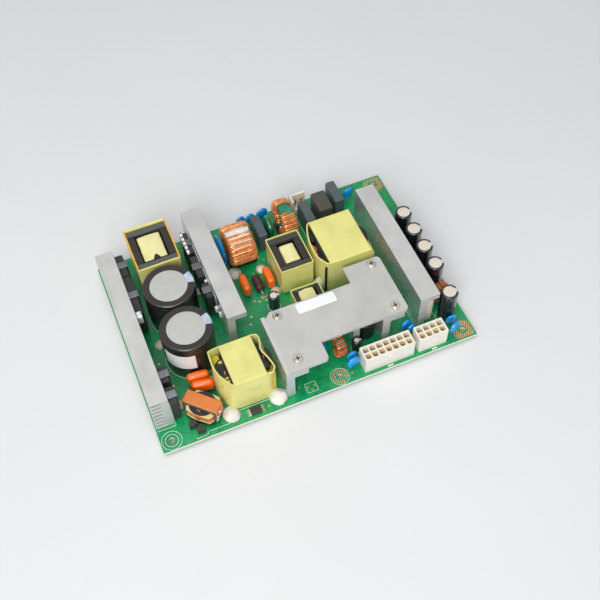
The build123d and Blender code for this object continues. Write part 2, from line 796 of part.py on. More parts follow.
# Power semiconductors
def package(width, lead_count):
    """A moulded body whose back is at x = 0, and its leads."""
    body = block(package_thickness, width, package_height, package_thickness / 2, 0, package_lift)
    front = body.faces().sort_by(Axis.X)[-1].edges()
    body = chamfer(front, package_edge)
    pitch = width / lead_count
    for index in range(lead_count):
        y = (index - (lead_count - 1) / 2) * pitch
        body += block(package_lead_thickness, package_lead_width, package_lift + package_edge,
                      package_thickness / 2, y)
    return body


def spring_clip():
    """A folded strip: it presses on the front of a package and goes back over its top to the heatsink."""
    top = package_lift + package_height + clip_thickness
    front_x = package_thickness + clip_thickness / 2
    front = block(clip_thickness, clip_width, top - clip_lift, front_x, 0, clip_lift)
    over = block(package_thickness + insulator_thickness, clip_width, clip_thickness,
                 (package_thickness - insulator_thickness) / 2, 0, top - clip_thickness)
    return front + over


def insulator(y_low, y_high):
    length = y_high - y_low + 2 * insulator_margin
    height = package_lift + package_height - insulator_lift
    middle = (y_low + y_high) / 2
    return block(insulator_thickness, length, height, -insulator_thickness / 2, middle, insulator_lift)


def semiconductor_row(face, side, y_shares, widths):
    """Packages, clips and the insulator sheet on one face of a heatsink; side is 1 or -1 along X."""
    places = [spot((0, share))[1] for share in y_shares]
    where = Pos(face + side * insulator_thickness, 0, board_top) * Rot(0, 0, 90 - side * 90)
    packages = []
    clips = []
    for y, width in zip(places, widths):
        count = 4 if width == bridge_package_width else 3
        moved = where * Pos(0, side * y, 0)
        packages.append(moved * package(width, count))
        clips.append(moved * spring_clip())
        for index in range(count):
            across = (index - (count - 1) / 2) * width / count
            joint_places.append((face + side * (insulator_thickness + package_thickness / 2), y + across))
    edges = [(y - width / 2, y + width / 2) for y, width in zip(places, widths)]
    return packages, clips, where, edges


def chip(shares):
    x, y = spot(shares)
    length, width, height = chip_size
    body = block(length, width, height, z=chip_stand_off)
    body = chamfer(body.edges().group_by(Axis.Z)[-1], chip_edge)
    for index in range(chip_lead_count):
        along = (index - (chip_lead_count - 1) / 2) * length / chip_lead_count
        body += block(chip_lead_width, width + 2 * chip_lead_reach, chip_stand_off + chip_lead_width / 2, along)
    return Pos(x, y, board_top) * Rot(0, 0, 90) * body


def small_transistor(shares):
    x, y = spot(shares)
    radius = small_transistor_radius
    flat = radius * small_transistor_flat_share
    outline = Circle(radius) - Pos(0, -flat) * Rectangle(2 * radius, radius, align=(Align.CENTER, Align.MAX))
    joint_places.append((x, y))
    return Pos(x, y, board_top) * extrude(outline, amount=small_transistor_height)


def dab(shares, neighbours):
    """A low dome of adhesive, cut away where it lies against a part."""
    x, y = spot(shares)
    radius = dab_radius * shares[2]
    height = radius * dab_height_share
    dome = [(0, 0), (radius, 0), (radius * 4 / 5, height * 3 / 4), (0, height)]
    shape = Pos(x, y, board_top) * revolve(Rot(90, 0, 0) * Polygon(*dome, align=None), Axis.Z)
    for neighbour in neighbours:
        shape -= neighbour
    return shape.solids().sort_by(SortBy.VOLUME)[-1]


def solder_joint(x, y):
    foot = RegularPolygon(joint_radius, joint_side_count)
    cone = extrude(foot, amount=joint_height, taper=joint_taper_angle)
    return Pos(x, y, lead_tip_length) * Rot(180, 0, 0) * cone


def circuit_board():
    board = block(board_length, board_width, board_thickness, z=lead_tip_length)
    board = fillet(board.edges().filter_by(Axis.Z), board_corner_radius)
    reach_x = board_length / 2 - mount_hole_inset_x
    reach_y = board_width / 2 - mount_hole_inset_y
    holes = [(sx * reach_x, sy * reach_y) for sx in (-1, 1) for sy in (-1, 1)]
    holes.append((spot((middle_hole_x_share, 0))[0], -reach_y))
    for x, y in holes:
        board -= post(mount_hole_radius, board_thickness, x, y, lead_tip_length)
    pin_hole = heatsink_pin_width + 2 * pin_hole_clearance
    for x, y in pin_places:
        board -= block(pin_hole, pin_hole, board_thickness, x, y, lead_tip_length)
    return board


os.makedirs("parts", exist_ok=True)
save("left_heatsink", left_heatsink)
save("middle_heatsink", middle_heatsink)
save("right_heatsink", right_heatsink)
save("heatsink_pins", *left_pins, *middle_pins, *right_pins, *left_feet, *right_feet, *middle_feet)
save("cover_plate", cover_plate())
save("cover_left_bracket", tapped(left_bracket))
save("cover_middle_bracket", middle_bracket)
save("cover_right_bracket", tapped(right_bracket))
screw_top = cover_bottom + cover_thickness
save("cover_screws", *[Pos(x, y, screw_top) * cover_screw() for x, y in screw_places])

bulk_cans, bulk_sleeves = capacitors(
    bulk_places, bulk_can_radius, bulk_can_height, bulk_sleeve_lip, bulk_edge)
save("bulk_capacitor_cans", *bulk_cans)
save("bulk_capacitor_sleeves", *bulk_sleeves)
output_cans, output_sleeves = capacitors(
    output_places, output_can_radius, output_can_height, output_sleeve_lip, output_edge)
small_second_radius = small_can_radius * small_second_size_share
small_second_place = (
    spot((small_second_x_share, 0))[0],
    cover_back - middle_bracket_length - small_bracket_gap - sleeve_thickness - small_second_radius)
for place, size_share in ((spot(small_first_place_share), 1), (small_second_place, small_second_size_share)):
    cans, sleeves = capacitors(
        [place], small_can_radius * size_share, small_can_height * size_share, output_sleeve_lip, output_edge)
    output_cans += cans
    output_sleeves += sleeves
save("output_capacitor_cans", *output_cans)
save("output_capacitor_sleeves", *output_sleeves)

front_outside = save_upright("front_transformer", spot(front_place_share), 0,
                             front_core_length, front_core_width, front_core_height, front_winding_span)
large_place = (spot((large_x_share, 0))[0],
               cover_back + cover_step_depth + large_bracket_gap + large_core_length / 2)
large_outside = save_upright("large_transformer", large_place, 0,
                             large_core_length, large_core_width, large_core_height, large_winding_span)
driver_outside = save_upright("driver_transformer", spot(driver_place_share), driver_turn_angle,
                              driver_core_length, driver_core_width, driver_core_height,
                              driver_winding_span, slim_bar_share, False)
save_flat("rear_transformer", rear_place_share,
          rear_core_length, rear_core_width, rear_core_height, rear_winding_width)
save_flat("centre_transformer", centre_place_share,
          centre_core_length, centre_core_width, centre_core_height, centre_winding_width)
save_flat("small_transformer", small_transformer_place_share,
          small_core_length, small_core_width, small_core_height, small_winding_width)

left_choke_core, left_choke_windings, left_choke_base = common_choke(
    left_choke_core_width, spot(left_choke_place_share), left_choke_fill_angle, left_choke_gap_angle)
right_choke_core, right_choke_windings, right_choke_base = common_choke(
    right_choke_core_width, spot(right_choke_place_share), right_choke_fill_angle, right_choke_gap_angle)
save("input_choke_cores", left_choke_core, right_choke_core)
save("input_choke_windings", *left_choke_windings, *right_choke_windings)
save("input_choke_bases", left_choke_base, right_choke_base)
front_choke_core, front_choke_winding = output_choke(spot(front_choke_place_share), 0, front_choke_gap_angle)
side_choke_core, side_choke_winding = output_choke(spot(side_choke_place_share), 90, 0)
save("output_choke_cores", front_choke_core, side_choke_core)
save("output_choke_windings", front_choke_winding, side_choke_winding)

save("wide_header_housing", header_housing(wide_header_columns, wide_header_x_share))
save("narrow_header_housing", header_housing(narrow_header_columns, narrow_header_x_share))
save("inlet_header_housing", inlet_housing())
save("header_contacts", *[contact(x, y, header_height - contact_top_gap) for x, y in contact_places],
     *[contact(x, y, inlet_pin_height) for x, y in inlet_contacts])

save("box_capacitors",
     *[moulded_box(box_capacitor_size, box_edge_radius, s) for s in box_capacitor_place_shares])
save("relay", moulded_box(relay_size, relay_edge_radius, relay_place_share))
discs = []
for row in disc_table_shares:
    disc_radius = disc_large_radius * row[3]
    thickness = disc_thinnest + disc_radius * disc_thickness_share
    discs.append(dipped_disc(disc_radius, thickness, spot(row), row[2]))
save("disc_capacitors", *discs)
save("varistor", dipped_disc(varistor_radius, varistor_thickness, spot(varistor_place_share), 90))
save("film_capacitors", *[film_capacitor(shares) for shares in film_table_shares])
save("resistor", resistor())
save("drum_choke", drum())

left_packages, left_clips, left_where, left_edges = semiconductor_row(
    left_face, 1, left_package_y_shares,
    (large_package_width, bridge_package_width, small_package_width, small_package_width))
middle_packages, middle_clips, middle_where, middle_edges = semiconductor_row(
    middle_heatsink_x, -1, middle_package_y_shares,
    (large_package_width, large_package_width, small_package_width))
right_packages, right_clips, right_where, right_edges = semiconductor_row(
    right_heatsink_x + angle_web, 1, right_package_y_shares,
    (small_package_width, large_package_width, large_package_width, small_package_width))
save("power_packages", *left_packages, *middle_packages, *right_packages)
save("package_clips", *left_clips, *middle_clips, *right_clips)
save("insulator_sheets",
     left_where * insulator(left_edges[1][0], left_edges[0][1]),
     left_where * insulator(left_edges[3][0], left_edges[2][1]),
     middle_where * insulator(-middle_edges[0][1], -middle_edges[2][0]),
     right_where * insulator(right_edges[3][0], right_edges[0][1]))
save("small_semiconductors", chip(chip_place_share),
     *[small_transistor(shares) for shares in small_transistor_place_shares])
neighbours = (front_outside + large_outside + driver_outside + left_packages + right_packages
              + [left_heatsink, left_bracket, left_choke_base] + bulk_sleeves + bulk_cans)
save("adhesive_dabs", *[dab(shares, neighbours) for shares in dab_table_shares])
save("circuit_board", circuit_board())
save("solder_joints", *[solder_joint(x, y) for x, y in joint_places])
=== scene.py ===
import bpy
import bmesh
from bmesh import ops
import random
from math import atan2, copysign, cos, degrees, hypot, pi, radians, sin
from mathutils import Matrix, Vector, noise


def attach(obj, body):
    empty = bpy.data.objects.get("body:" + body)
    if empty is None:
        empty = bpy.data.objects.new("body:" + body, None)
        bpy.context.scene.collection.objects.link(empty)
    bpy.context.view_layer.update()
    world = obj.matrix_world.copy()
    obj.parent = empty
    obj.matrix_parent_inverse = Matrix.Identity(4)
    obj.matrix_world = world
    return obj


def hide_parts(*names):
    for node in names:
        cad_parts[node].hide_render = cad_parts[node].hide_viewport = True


bpy.context.scene.view_settings.view_transform = "Standard"
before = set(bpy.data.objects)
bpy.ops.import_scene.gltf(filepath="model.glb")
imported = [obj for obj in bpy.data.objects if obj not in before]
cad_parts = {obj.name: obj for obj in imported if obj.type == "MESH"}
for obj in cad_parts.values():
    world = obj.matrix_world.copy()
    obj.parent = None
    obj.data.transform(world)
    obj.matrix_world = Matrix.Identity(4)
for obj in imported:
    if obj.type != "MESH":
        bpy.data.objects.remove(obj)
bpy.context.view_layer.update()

# The pieces are drawn in millimetres on the circuit board: x from its left edge,
# y from its front edge and z up from its face. BOARD takes them to the shared frame.
BOARD = Matrix.Translation((-0.095, -0.0665, 0.004)) @ Matrix.Scale(0.001, 4)
BOARD_LENGTH = 190
BOARD_WIDTH = 133
BOARD_THICKNESS = 1.6


# finishes
def tint(colour):
    """A colour from a paint chart, 0 to 255, in the renderer's own units."""
    shares = [channel / 255 for channel in colour]
    return [part / 12.92 if part <= 0.04045 else ((part + 0.055) / 1.055) ** 2.4 for part in shares] + [1]


def shaded(colour, by):
    return [min(255, max(0, channel * by)) for channel in colour]


FINISHES = {}


class Nodes:
    """The node tree of a material or of the world."""

    def __init__(self, owner, shader):
        owner.use_nodes = True
        self.tree = owner.node_tree
        self.shader = self.tree.nodes[shader].inputs

    def feed(self, socket, value):
        """Set a socket to a value, or join another node's socket to it."""
        if isinstance(value, bpy.types.NodeSocket):
            self.tree.links.new(value, socket)
        else:
            socket.default_value = value

    def node(self, kind, inputs=(), **settings):
        made = self.tree.nodes.new("ShaderNode" + kind)
        for key, value in settings.items():
            setattr(made, key, value)
        for key, value in dict(inputs).items():
            self.feed(made.inputs[key], value)
        return made

    def mix(self, factor, first, second, blend="MIX"):
        return self.node("Mix", {0: factor, 6: first, 7: second},
                         data_type="RGBA", blend_type=blend).outputs[2]

    def maths(self, operation, first, second=0):
        return self.node("Math", {0: first, 1: second}, operation=operation).outputs[0]


class Finish(Nodes):
    """A material; FINISHES holds it by its name."""

    def __init__(self, name, rough=0.5, metal=0, **sockets):
        FINISHES[name] = bpy.data.materials.new(name)
        super().__init__(FINISHES[name], "Principled BSDF")
        for socket, value in dict(sockets, Roughness=rough, Metallic=metal).items():
            self.feed(self.shader[socket.replace("_", " ")], value)
        self.where = self.node("TexCoord").outputs["Object"]

    def placed(self, stretch=(1, 1, 1), turn=(0, 0, 0)):
        """Object coordinates, stretched and turned."""
        return self.node("Mapping",
                         {"Scale": stretch, "Rotation": turn, "Vector": self.where}).outputs["Vector"]

    def cloud(self, scale, detail=3, stretch=(1, 1, 1), turn=(0, 0, 0)):
        """Soft random variation at this many waves a metre."""
        return self.node("TexNoise", {"Scale": scale, "Detail": detail, "Roughness": 0.55,
                                      "Vector": self.placed(stretch, turn)}).outputs["Fac"]

    def ramp(self, source, *stops):
        """Colours along a value; each stop is (place, colour)."""
        made = self.node("ValToRGB", {"Fac": source})
        band = made.color_ramp.elements
        while len(band) < len(stops):
            band.new(0.5)
        for element, (place, colour) in zip(band, stops):
            element.position = place
            element.color = tint(colour)
        return made.outputs["Color"]

    def clouded(self, source, colour, spread, low=0.3, high=0.7):
        """The colour, darker where the source is low."""
        return self.ramp(source, (low, shaded(colour, 1 - spread)), (high, shaded(colour, 1 + spread)))

    def mask(self, source, low, high, start=0, stop=1):
        """0 below low and 1 above high, or the two values given."""
        return self.node("MapRange", {"Value": source, "From Min": low, "From Max": high,
                                      "To Min": start, "To Max": stop}).outputs["Result"]

    def colour(self, source):
        self.feed(self.shader["Base Color"], source)

    def roughness(self, source, low, high):
        self.feed(self.shader["Roughness"], self.mask(source, 0.3, 0.7, low, high))

    def bump(self, source, height, strength=1):
        """Relief of this height in millimetres; a second call adds to the first."""
        normal = self.shader["Normal"]
        made = self.node("Bump", {"Strength": strength, "Distance": height / 1000, "Height": source})
        if normal.is_linked:
            self.feed(made.inputs["Normal"], normal.links[0].from_socket)
        self.feed(normal, made.outputs["Normal"])


def plain(name, colour, rough, metal=0, spread=0.08, waves=260, grain=4000, relief=0.02, gloss=0.06,
          **sockets):
    """A moulded, dipped or painted finish: faint clouds of colour, fine grain and uneven gloss."""
    made = Finish(name, rough, metal, **sockets)
    made.colour(made.clouded(made.cloud(waves), colour, spread))
    made.roughness(made.cloud(waves * 3), max(0.02, rough - gloss), rough + gloss)
    made.bump(made.cloud(grain, 2), relief)


def drawn_metal(name, colour, rough, stretch, relief=0.01, spread=0.05, metal=1):
    """Metal with fine lines one way and faint handling marks."""
    made = Finish(name, rough, metal)
    lines = made.cloud(1, 4, stretch)
    base = made.clouded(lines, colour, spread, 0.25, 0.75)
    marks = made.ramp(made.cloud(60), (0.35, (238, 238, 240)), (0.65, (255, 255, 255)))
    made.colour(made.mix(1, base, marks, "MULTIPLY"))
    made.roughness(made.cloud(120), rough - 0.06, rough + 0.08)
    made.bump(lines, relief)


def tape_finish(name, colour, rough=0.34):
    """Polyester tape: faint wraps, pulled creases and a soft gloss."""
    made = Finish(name, rough, Coat_Weight=0.15, Coat_Roughness=0.2, Specular_IOR_Level=0.55)
    made.colour(made.ramp(made.cloud(110, 4), (0.28, shaded(colour, 0.95)), (0.5, colour),
                          (0.75, shaded(colour, 1.03))))
    made.roughness(made.cloud(300), rough - 0.08, rough + 0.1)
    made.bump(made.cloud(90, 3, (1, 1, 2.2)), 0.4, 0.55)
    made.bump(made.cloud(700), 0.08, 0.4)


def board_finish():
    """Green mask over copper areas and tracks, and bare laminate at the cut edges."""
    made = Finish("board_mask", 0.3, Coat_Weight=0.3, Coat_Roughness=0.12)
    upright = (1, 1, 0.001)

    def cells(scale, feature):
        return made.node("TexVoronoi",
                         {"Scale": scale, "Randomness": 0.62, "Vector": made.placed(upright)},
                         feature=feature, distance="CHEBYCHEV").outputs["Distance"]

    def areas(scale, width):
        """Copper areas with narrow gaps between them."""
        return made.mask(made.maths("SUBTRACT", cells(scale, "F2"), cells(scale, "F1")), width, width * 1.5)

    def tracks(direction, waves, low, seed):
        """Bundles of parallel tracks, in some places only."""
        lines = made.node("TexWave", {"Scale": waves, "Vector": made.where},
                          wave_type="BANDS", bands_direction=direction).outputs["Fac"]
        place = made.mask(made.cloud(26, 1, upright, (0, 0, seed)), low, low + 0.01)
        return made.maths("MULTIPLY", made.mask(lines, 0.72, 0.8), place)

    copper = made.maths("MINIMUM", areas(70, 0.02), areas(210, 0.035))
    lines = made.maths("MAXIMUM", tracks("X", 210, 0.56, 0.4), tracks("Y", 190, 0.58, 2.1))
    copper = made.maths("SUBTRACT", copper, made.maths("MULTIPLY", lines, 0.8))
    clouds = made.cloud(140)
    over_copper = made.ramp(clouds, (0.3, (0, 148, 86)), (0.7, (8, 168, 98)))
    over_laminate = made.ramp(clouds, (0.3, (0, 130, 75)), (0.7, (2, 144, 85)))
    laminate = made.ramp(made.cloud(900, 2, (1, 1, 4)), (0.3, (222, 224, 196)), (0.7, (244, 244, 222)))
    normal = made.node("NewGeometry").outputs["Normal"]
    level = made.maths("ABSOLUTE", made.node("SeparateXYZ", {0: normal}).outputs["Z"])
    made.colour(made.mix(made.mask(level, 0.4, 0.6), laminate, made.mix(copper, over_laminate, over_copper)))
    made.roughness(clouds, 0.26, 0.4)
    made.bump(copper, 0.03, 0.6)
    made.bump(made.cloud(1500), 0.01, 0.5)


def sleeve_finish(name, colour, rough, coat=0.6):
    """Heat-shrunk film: gloss with faint pull lines round the can."""
    made = Finish(name, rough, Coat_Weight=coat, Coat_Roughness=0.05)
    made.colour(made.clouded(made.cloud(200), colour, 0.12))
    made.roughness(made.cloud(420), rough - 0.07, rough + 0.1)
    made.bump(made.cloud(220, 2, (1, 1, 3)), 0.1, 0.4)


ALONG_Y = (2600, 14, 2600)
DIPPED = {"waves": 150, "grain": 700, "relief": 0.06}
board_finish()
drawn_metal("extruded_aluminium", (204, 204, 200), 0.54, ALONG_Y, spread=0.02, metal=0.28)
drawn_metal("smooth_web", (222, 225, 226), 0.25, ALONG_Y, 0.006, 0.02, 0.72)
drawn_metal("sawn_aluminium", (202, 206, 203), 0.55, (60, 60, 2400), spread=0.03, metal=0.3)
drawn_metal("rolled_plate", (199, 198, 193), 0.54, (1500, 26, 1500), spread=0.015, metal=0.28)
drawn_metal("nickel_steel", (226, 220, 208), 0.24, (300, 300, 300))
# Painted shade for the screws' cross recesses, darker than their steel.
plain("screw_recess", (84, 73, 62), 0.5, 0.4)
drawn_metal("spring_steel", (132, 134, 138), 0.3, (900, 60, 60))
drawn_metal("tinned_wire", (224, 222, 218), 0.28, (700, 700, 80))
drawn_metal("solder", (214, 216, 218), 0.22, (400, 400, 400))
plain("can_lid", (191, 191, 186), 0.5, 0.25, 0.02, 240, 3000, 0.03)
plain("coated_lid", (222, 214, 198), 0.5, 0.1, 0.04, 900, 2500, 0.04)
plain("contact_brass", (216, 170, 92), 0.34, 1)
sleeve_finish("bulk_sleeve", (34, 31, 30), 0.3)
sleeve_finish("bulk_ring", (38, 33, 30), 0.6, 0)
sleeve_finish("output_sleeve", (24, 26, 34), 0.22)
sleeve_finish("sleeve_stripe", (184, 200, 218), 0.4)
sleeve_finish("stripe_mark", (58, 74, 96), 0.34)
plain("ferrite", (84, 85, 79), 0.55, waves=900, grain=5200, relief=0.05, gloss=0.1)
plain("dark_ferrite", (58, 55, 51), 0.48, waves=900, grain=5200, relief=0.05)
plain("bobbin_plastic", (24, 23, 23), 0.4, waves=600, grain=3000)
plain("lacquered_leg", (40, 32, 28), 0.5, spread=0.2, waves=500, grain=1800, relief=0.08)
tape_finish("yellow_tape", (230, 224, 136))
# Paler yellow tape for the pillows: yellow tape with a painted highlight.
tape_finish("pale_tape", (238, 232, 164), 0.3)
# Yellow tape darkened with painted shade, for tape deep inside the transformers' walls.
tape_finish("mustard_tape", (206, 184, 34))
plain("tape_edge", (232, 170, 44), 0.45, spread=0.12, waves=1200)
tape_finish("orange_tape", (216, 122, 50))
tape_finish("cream_tape", (230, 212, 150))
plain("enamelled_copper", (230, 146, 84), 0.27, 0.55, 0.16, 420, 2600,
      Coat_Weight=0.4, Coat_Roughness=0.12)
plain("red_enamel", (214, 66, 34), 0.28, 0.2, 0.2, 420, Coat_Weight=0.4)
plain("white_coating", (224, 221, 216), 0.5)
plain("green_coating", (24, 124, 92), 0.36, Coat_Weight=0.2)
plain("black_plastic", (26, 26, 27), 0.4, grain=3600, relief=0.03)
plain("package_epoxy", (46, 47, 49), 0.48, grain=5200, relief=0.04)
plain("transistor_epoxy", (54, 46, 43), 0.42, grain=5200, relief=0.04)
plain("grey_box", (78, 88, 94), 0.44, spread=0.05, grain=4200, relief=0.03)
plain("relay_case", (72, 68, 62), 0.5, spread=0.3, waves=1900, grain=2400, relief=0.08)
plain("blue_dip", (0, 153, 234), 0.2, Coat_Weight=0.5, **DIPPED)
plain("green_dip", (14, 104, 68), 0.16, Coat_Weight=0.6, **DIPPED)
plain("orange_dip", (255, 106, 2), 0.22, spread=0.05, Coat_Weight=0.5, **DIPPED)
plain("resistor_coat", (58, 40, 38), 0.36)
plain("resistor_band", (104, 50, 44), 0.4)
plain("cream_plastic", (240, 235, 224), 0.42, spread=0.02, waves=180, grain=3000,
      Subsurface_Weight=0.1, Subsurface_Scale=0.002)
# Tan painted shade for the deep inner faces of the header sockets.
plain("cream_inside", (250, 228, 184), 0.5, spread=0.06, waves=400)
plain("silicone", (225, 223, 215), 0.42, spread=0.02, waves=140, grain=500, relief=0.1,
      Subsurface_Weight=0.15, Subsurface_Scale=0.002)
plain("beige_silicone", (224, 214, 192), 0.36, spread=0.05, waves=200, grain=500,
      relief=0.1, Subsurface_Weight=0.15, Subsurface_Scale=0.002)
plain("white_print", (226, 236, 228), 0.55, spread=0.04)
plain("bare_copper", (226, 160, 122), 0.42, 0.4, 0.12, 800)
plain("label_paper", (246, 247, 248), 0.42, spread=0.01, waves=300)
plain("insulator_sheet", (190, 190, 184), 0.4, spread=0.05)
plain("white_clip", (236, 236, 234), 0.42)


# drawing
SHARP = 28
CLOSE = 0.0004


def shown(name, data):
    made = bpy.data.objects.new(name, data)
    bpy.context.scene.collection.objects.link(made)
    return made


def outward(bm, merge=0):
    """Join the points that are closer than this, and turn every face outward."""
    if merge:
        ops.remove_doubles(bm, verts=bm.verts, dist=merge)
    ops.recalc_face_normals(bm, faces=bm.faces)
    return bm


def thickened(bm, thickness):
    ops.solidify(bm, geom=bm.faces[:], thickness=thickness)
    return outward(bm)


def bevel(bm, edges, width, steps):
    ops.bevel(bm, geom=edges, offset=width, offset_type="OFFSET", affect="EDGES", segments=steps,
              profile=0.5, clamp_overlap=True, material=-1)
    return bm


def rise(edge):
    """How far an edge climbs."""
    return abs(edge.verts[0].co.z - edge.verts[1].co.z)


def soften(bm, width, steps=2):
    """Round every edge at which the surface turns by more than SHARP degrees."""
    sharp = [e for e in bm.edges if e.is_manifold and e.calc_face_angle(0) > radians(SHARP)]
    return bevel(bm, sharp, width, steps) if sharp else bm


def slab(outline, low, high, rim=0, steps=2):
    """A plate with this outline between two heights, its edges rounded."""
    bm = bmesh.new()
    face = bm.faces.new([bm.verts.new((x, y, low)) for x, y in outline])
    made = ops.extrude_face_region(bm, geom=[face])
    top = [v for v in made["geom"] if isinstance(v, bmesh.types.BMVert)]
    ops.translate(bm, verts=top, vec=(0, 0, high - low))
    outward(bm)
    return soften(bm, rim, steps) if rim else bm


def rectangle(low_x, low_y, high_x, high_y):
    return [(low_x, low_y), (high_x, low_y), (high_x, high_y), (low_x, high_y)]


def brick(low, high, rim=0, steps=2):
    return slab(rectangle(*low[:2], *high[:2]), low[2], high[2], rim, steps)


def disc(radius, high, steps):
    turns = [2 * pi * index / steps for index in range(steps)]
    return slab([(radius * cos(turn), radius * sin(turn)) for turn in turns], 0, high)


def lathe(profile, steps=32):
    """A turned shape: its half section as (radius, height) pairs, spun about the vertical."""
    bm = bmesh.new()
    verts = [bm.verts.new((radius, 0, height)) for radius, height in profile]
    edges = [bm.edges.new(pair) for pair in zip(verts, verts[1:])]
    ops.spin(bm, geom=verts + edges, cent=(0, 0, 0), axis=(0, 0, 1), angle=2 * pi, steps=steps,
             use_merge=True)
    return outward(bm, CLOSE)


PLATING = 0.035


def flat_ring(inner, outer, low=0, thick=PLATING, steps=40):
    """A thin printed or plated ring lying flat."""
    high = low + thick
    return lathe([(inner, low), (outer, low), (outer, high), (inner, high), (inner, low)], steps)


def wire(points, radius, smooth=0, sides=1):
    """A round wire; smooth is the order of its curve, 0 for straight runs."""
    curve = bpy.data.curves.new("wire", "CURVE")
    curve.dimensions = "3D"
    curve.bevel_depth = radius
    curve.bevel_resolution = sides
    curve.use_fill_caps = True
    spline = curve.splines.new("NURBS" if smooth else "POLY")
    spline.points.add(len(points) - 1)
    for target, point in zip(spline.points, points):
        target.co = (*point, 1)
    if smooth:
        spline.order_u = smooth
        spline.use_endpoint_u = True
        spline.resolution_u = 5
    holder = bpy.data.objects.new("wire", curve)
    mesh = bpy.data.meshes.new_from_object(holder)
    bm = bmesh.new()
    bm.from_mesh(mesh)
    bpy.data.objects.remove(holder)
    bpy.data.curves.remove(curve)
    bpy.data.meshes.remove(mesh)
    return outward(bm, CLOSE)


def moved(bm, x=0, y=0, z=0, turn=0, axis="Z"):
    matrix = Matrix.Translation((x, y, z)) @ Matrix.Rotation(radians(turn), 4, axis)
    ops.transform(bm, matrix=matrix, verts=bm.verts)
    return bm


def painted(bm, pick):
    """Give each face this finish, or the one that pick(centre, normal) says."""
    for face in bm.faces:
        face.material_index = int(pick(face.calc_center_median(), face.normal)) if callable(pick) else pick


class Piece:
    """A visible piece made of small shapes; build() finishes it."""

    def __init__(self, name, slot, finishes):
        self.name = name
        self.slot = slot
        self.finishes = finishes.split()
        self.bm = bmesh.new()

    def add(self, shape, pick=0, *place):
        """Take in a shape, painted and then moved to its place."""
        painted(shape, pick)
        moved(shape, *place)
        mesh = bpy.data.meshes.new("shape")
        shape.to_mesh(mesh)
        shape.free()
        self.bm.from_mesh(mesh)
        bpy.data.meshes.remove(mesh)

    def bricks(self, number, rim, *corners):
        """Boxes of one finish, each from its low corner to its high one."""
        for low, high in corners:
            self.add(brick(low, high, rim), number)

    def strands(self, number, radius, *paths):
        """Flowing wires of one finish."""
        for path in paths:
            self.add(wire(path, radius, 3), number)

    def build(self, *nodes, angle=32):
        ops.transform(self.bm, matrix=BOARD, verts=self.bm.verts)
        mesh = bpy.data.meshes.new(self.name)
        self.bm.to_mesh(mesh)
        self.bm.free()
        for finish in self.finishes:
            mesh.materials.append(FINISHES[finish])
        mesh.shade_smooth()
        mesh.set_sharp_from_angle(angle=radians(angle))
        piece = shown(self.name, mesh)
        piece.modifiers.new("even_shading", "WEIGHTED_NORMAL").keep_sharp = True
        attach(piece, "root")
        if nodes:
            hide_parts(*nodes)


def from_node(node, bm):
    """Put the node's own shape into bm, in millimetres on the board."""
    bm.from_mesh(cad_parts[node].data)
    ops.transform(bm, matrix=BOARD.inverted(), verts=bm.verts)
    ops.remove_doubles(bm, verts=bm.verts, dist=0.002)
    return bm


def solids(node):
    """A node's separate solids, from the left: middle, half size and turn of each."""
    bm = from_node(node, bmesh.new())
    left = set(bm.verts)
    found = []
    while left:
        reach = [left.pop()]
        points = []
        while reach:
            vert = reach.pop()
            points.append(vert.co.copy())
            near = {edge.other_vert(vert) for edge in vert.link_edges} & left
            left -= near
            reach.extend(near)
        low, high = [Vector([end(axis) for axis in zip(*points)]) for end in (min, max)]
        middle = (low + high) / 2
        offsets = [point - middle for point in points]
        turn = atan2(2 * sum(p.x * p.y for p in offsets), sum(p.x * p.x - p.y * p.y for p in offsets)) / 2
        found.append((low.x, low.y, middle, (high - low) / 2, degrees(turn)))
    bm.free()
    return [solid[2:] for solid in sorted(found, key=lambda solid: solid[:2])]


def dress(finish, *nodes):
    """CAD nodes that keep their own shape and get a finish."""
    for node in nodes:
        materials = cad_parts[node].data.materials
        for index in range(len(materials)):
            materials[index] = FINISHES[finish]
        if not materials:
            materials.append(FINISHES[finish])


def eased(node, slot, width, finishes, pick=0, steps=2):
    """The node's own shape, its sharp edges eased; pick says each face's finish."""
    piece = Piece(node + "_eased", slot, finishes)
    bm = from_node(node, piece.bm)
    ops.dissolve_limit(bm, angle_limit=radians(1), verts=bm.verts, edges=bm.edges)
    painted(bm, pick)
    soften(bm, width, steps)
    piece.build(node)


# camera, light and floor
camera = shown("camera", bpy.data.cameras.new("camera"))
camera.data.sensor_width = 36
camera.data.lens = 53.087
camera.data.clip_start = 0.01
camera.matrix_world = Matrix((
    (0.92223, 0.33159, -0.19887, -0.094713),
    (-0.38613, 0.76324, -0.51805, -0.2772),
    (-0.02, 0.55455, 0.83191, 0.44264),
    (0, 0, 0, 1)))
bpy.context.scene.camera = camera


def soft_lamp(name, place, side, power):
    """A square lamp that looks at the middle of the board."""
    lamp = bpy.data.lights.new(name, "AREA")
    lamp.shape = "RECTANGLE"
    lamp.size = lamp.size_y = side
    lamp.energy = power
    aim = (-Vector(place)).to_track_quat("-Z", "Y").to_matrix().to_4x4()
    shown(name, lamp).matrix_world = Matrix.Translation(place) @ aim


soft_lamp("front", (-0.63, -1.08, 1.08), 0.9, 16.4)
soft_lamp("overhead", (-0.2, -0.12, 1.2), 0.95, 6.6)

world = bpy.data.worlds.new("studio")
bpy.context.scene.world = world
sky = Nodes(world, "Background")
rays = sky.node("LightPath").outputs
seen = rays["Is Camera Ray"]
for other in ("Is Glossy Ray", "Is Transmission Ray"):
    seen = sky.maths("MAXIMUM", seen, rays[other])
sky.feed(sky.shader["Color"], sky.mix(seen, (0.29, 0.3, 0.31, 1), (0.72, 0.72, 0.72, 1)))

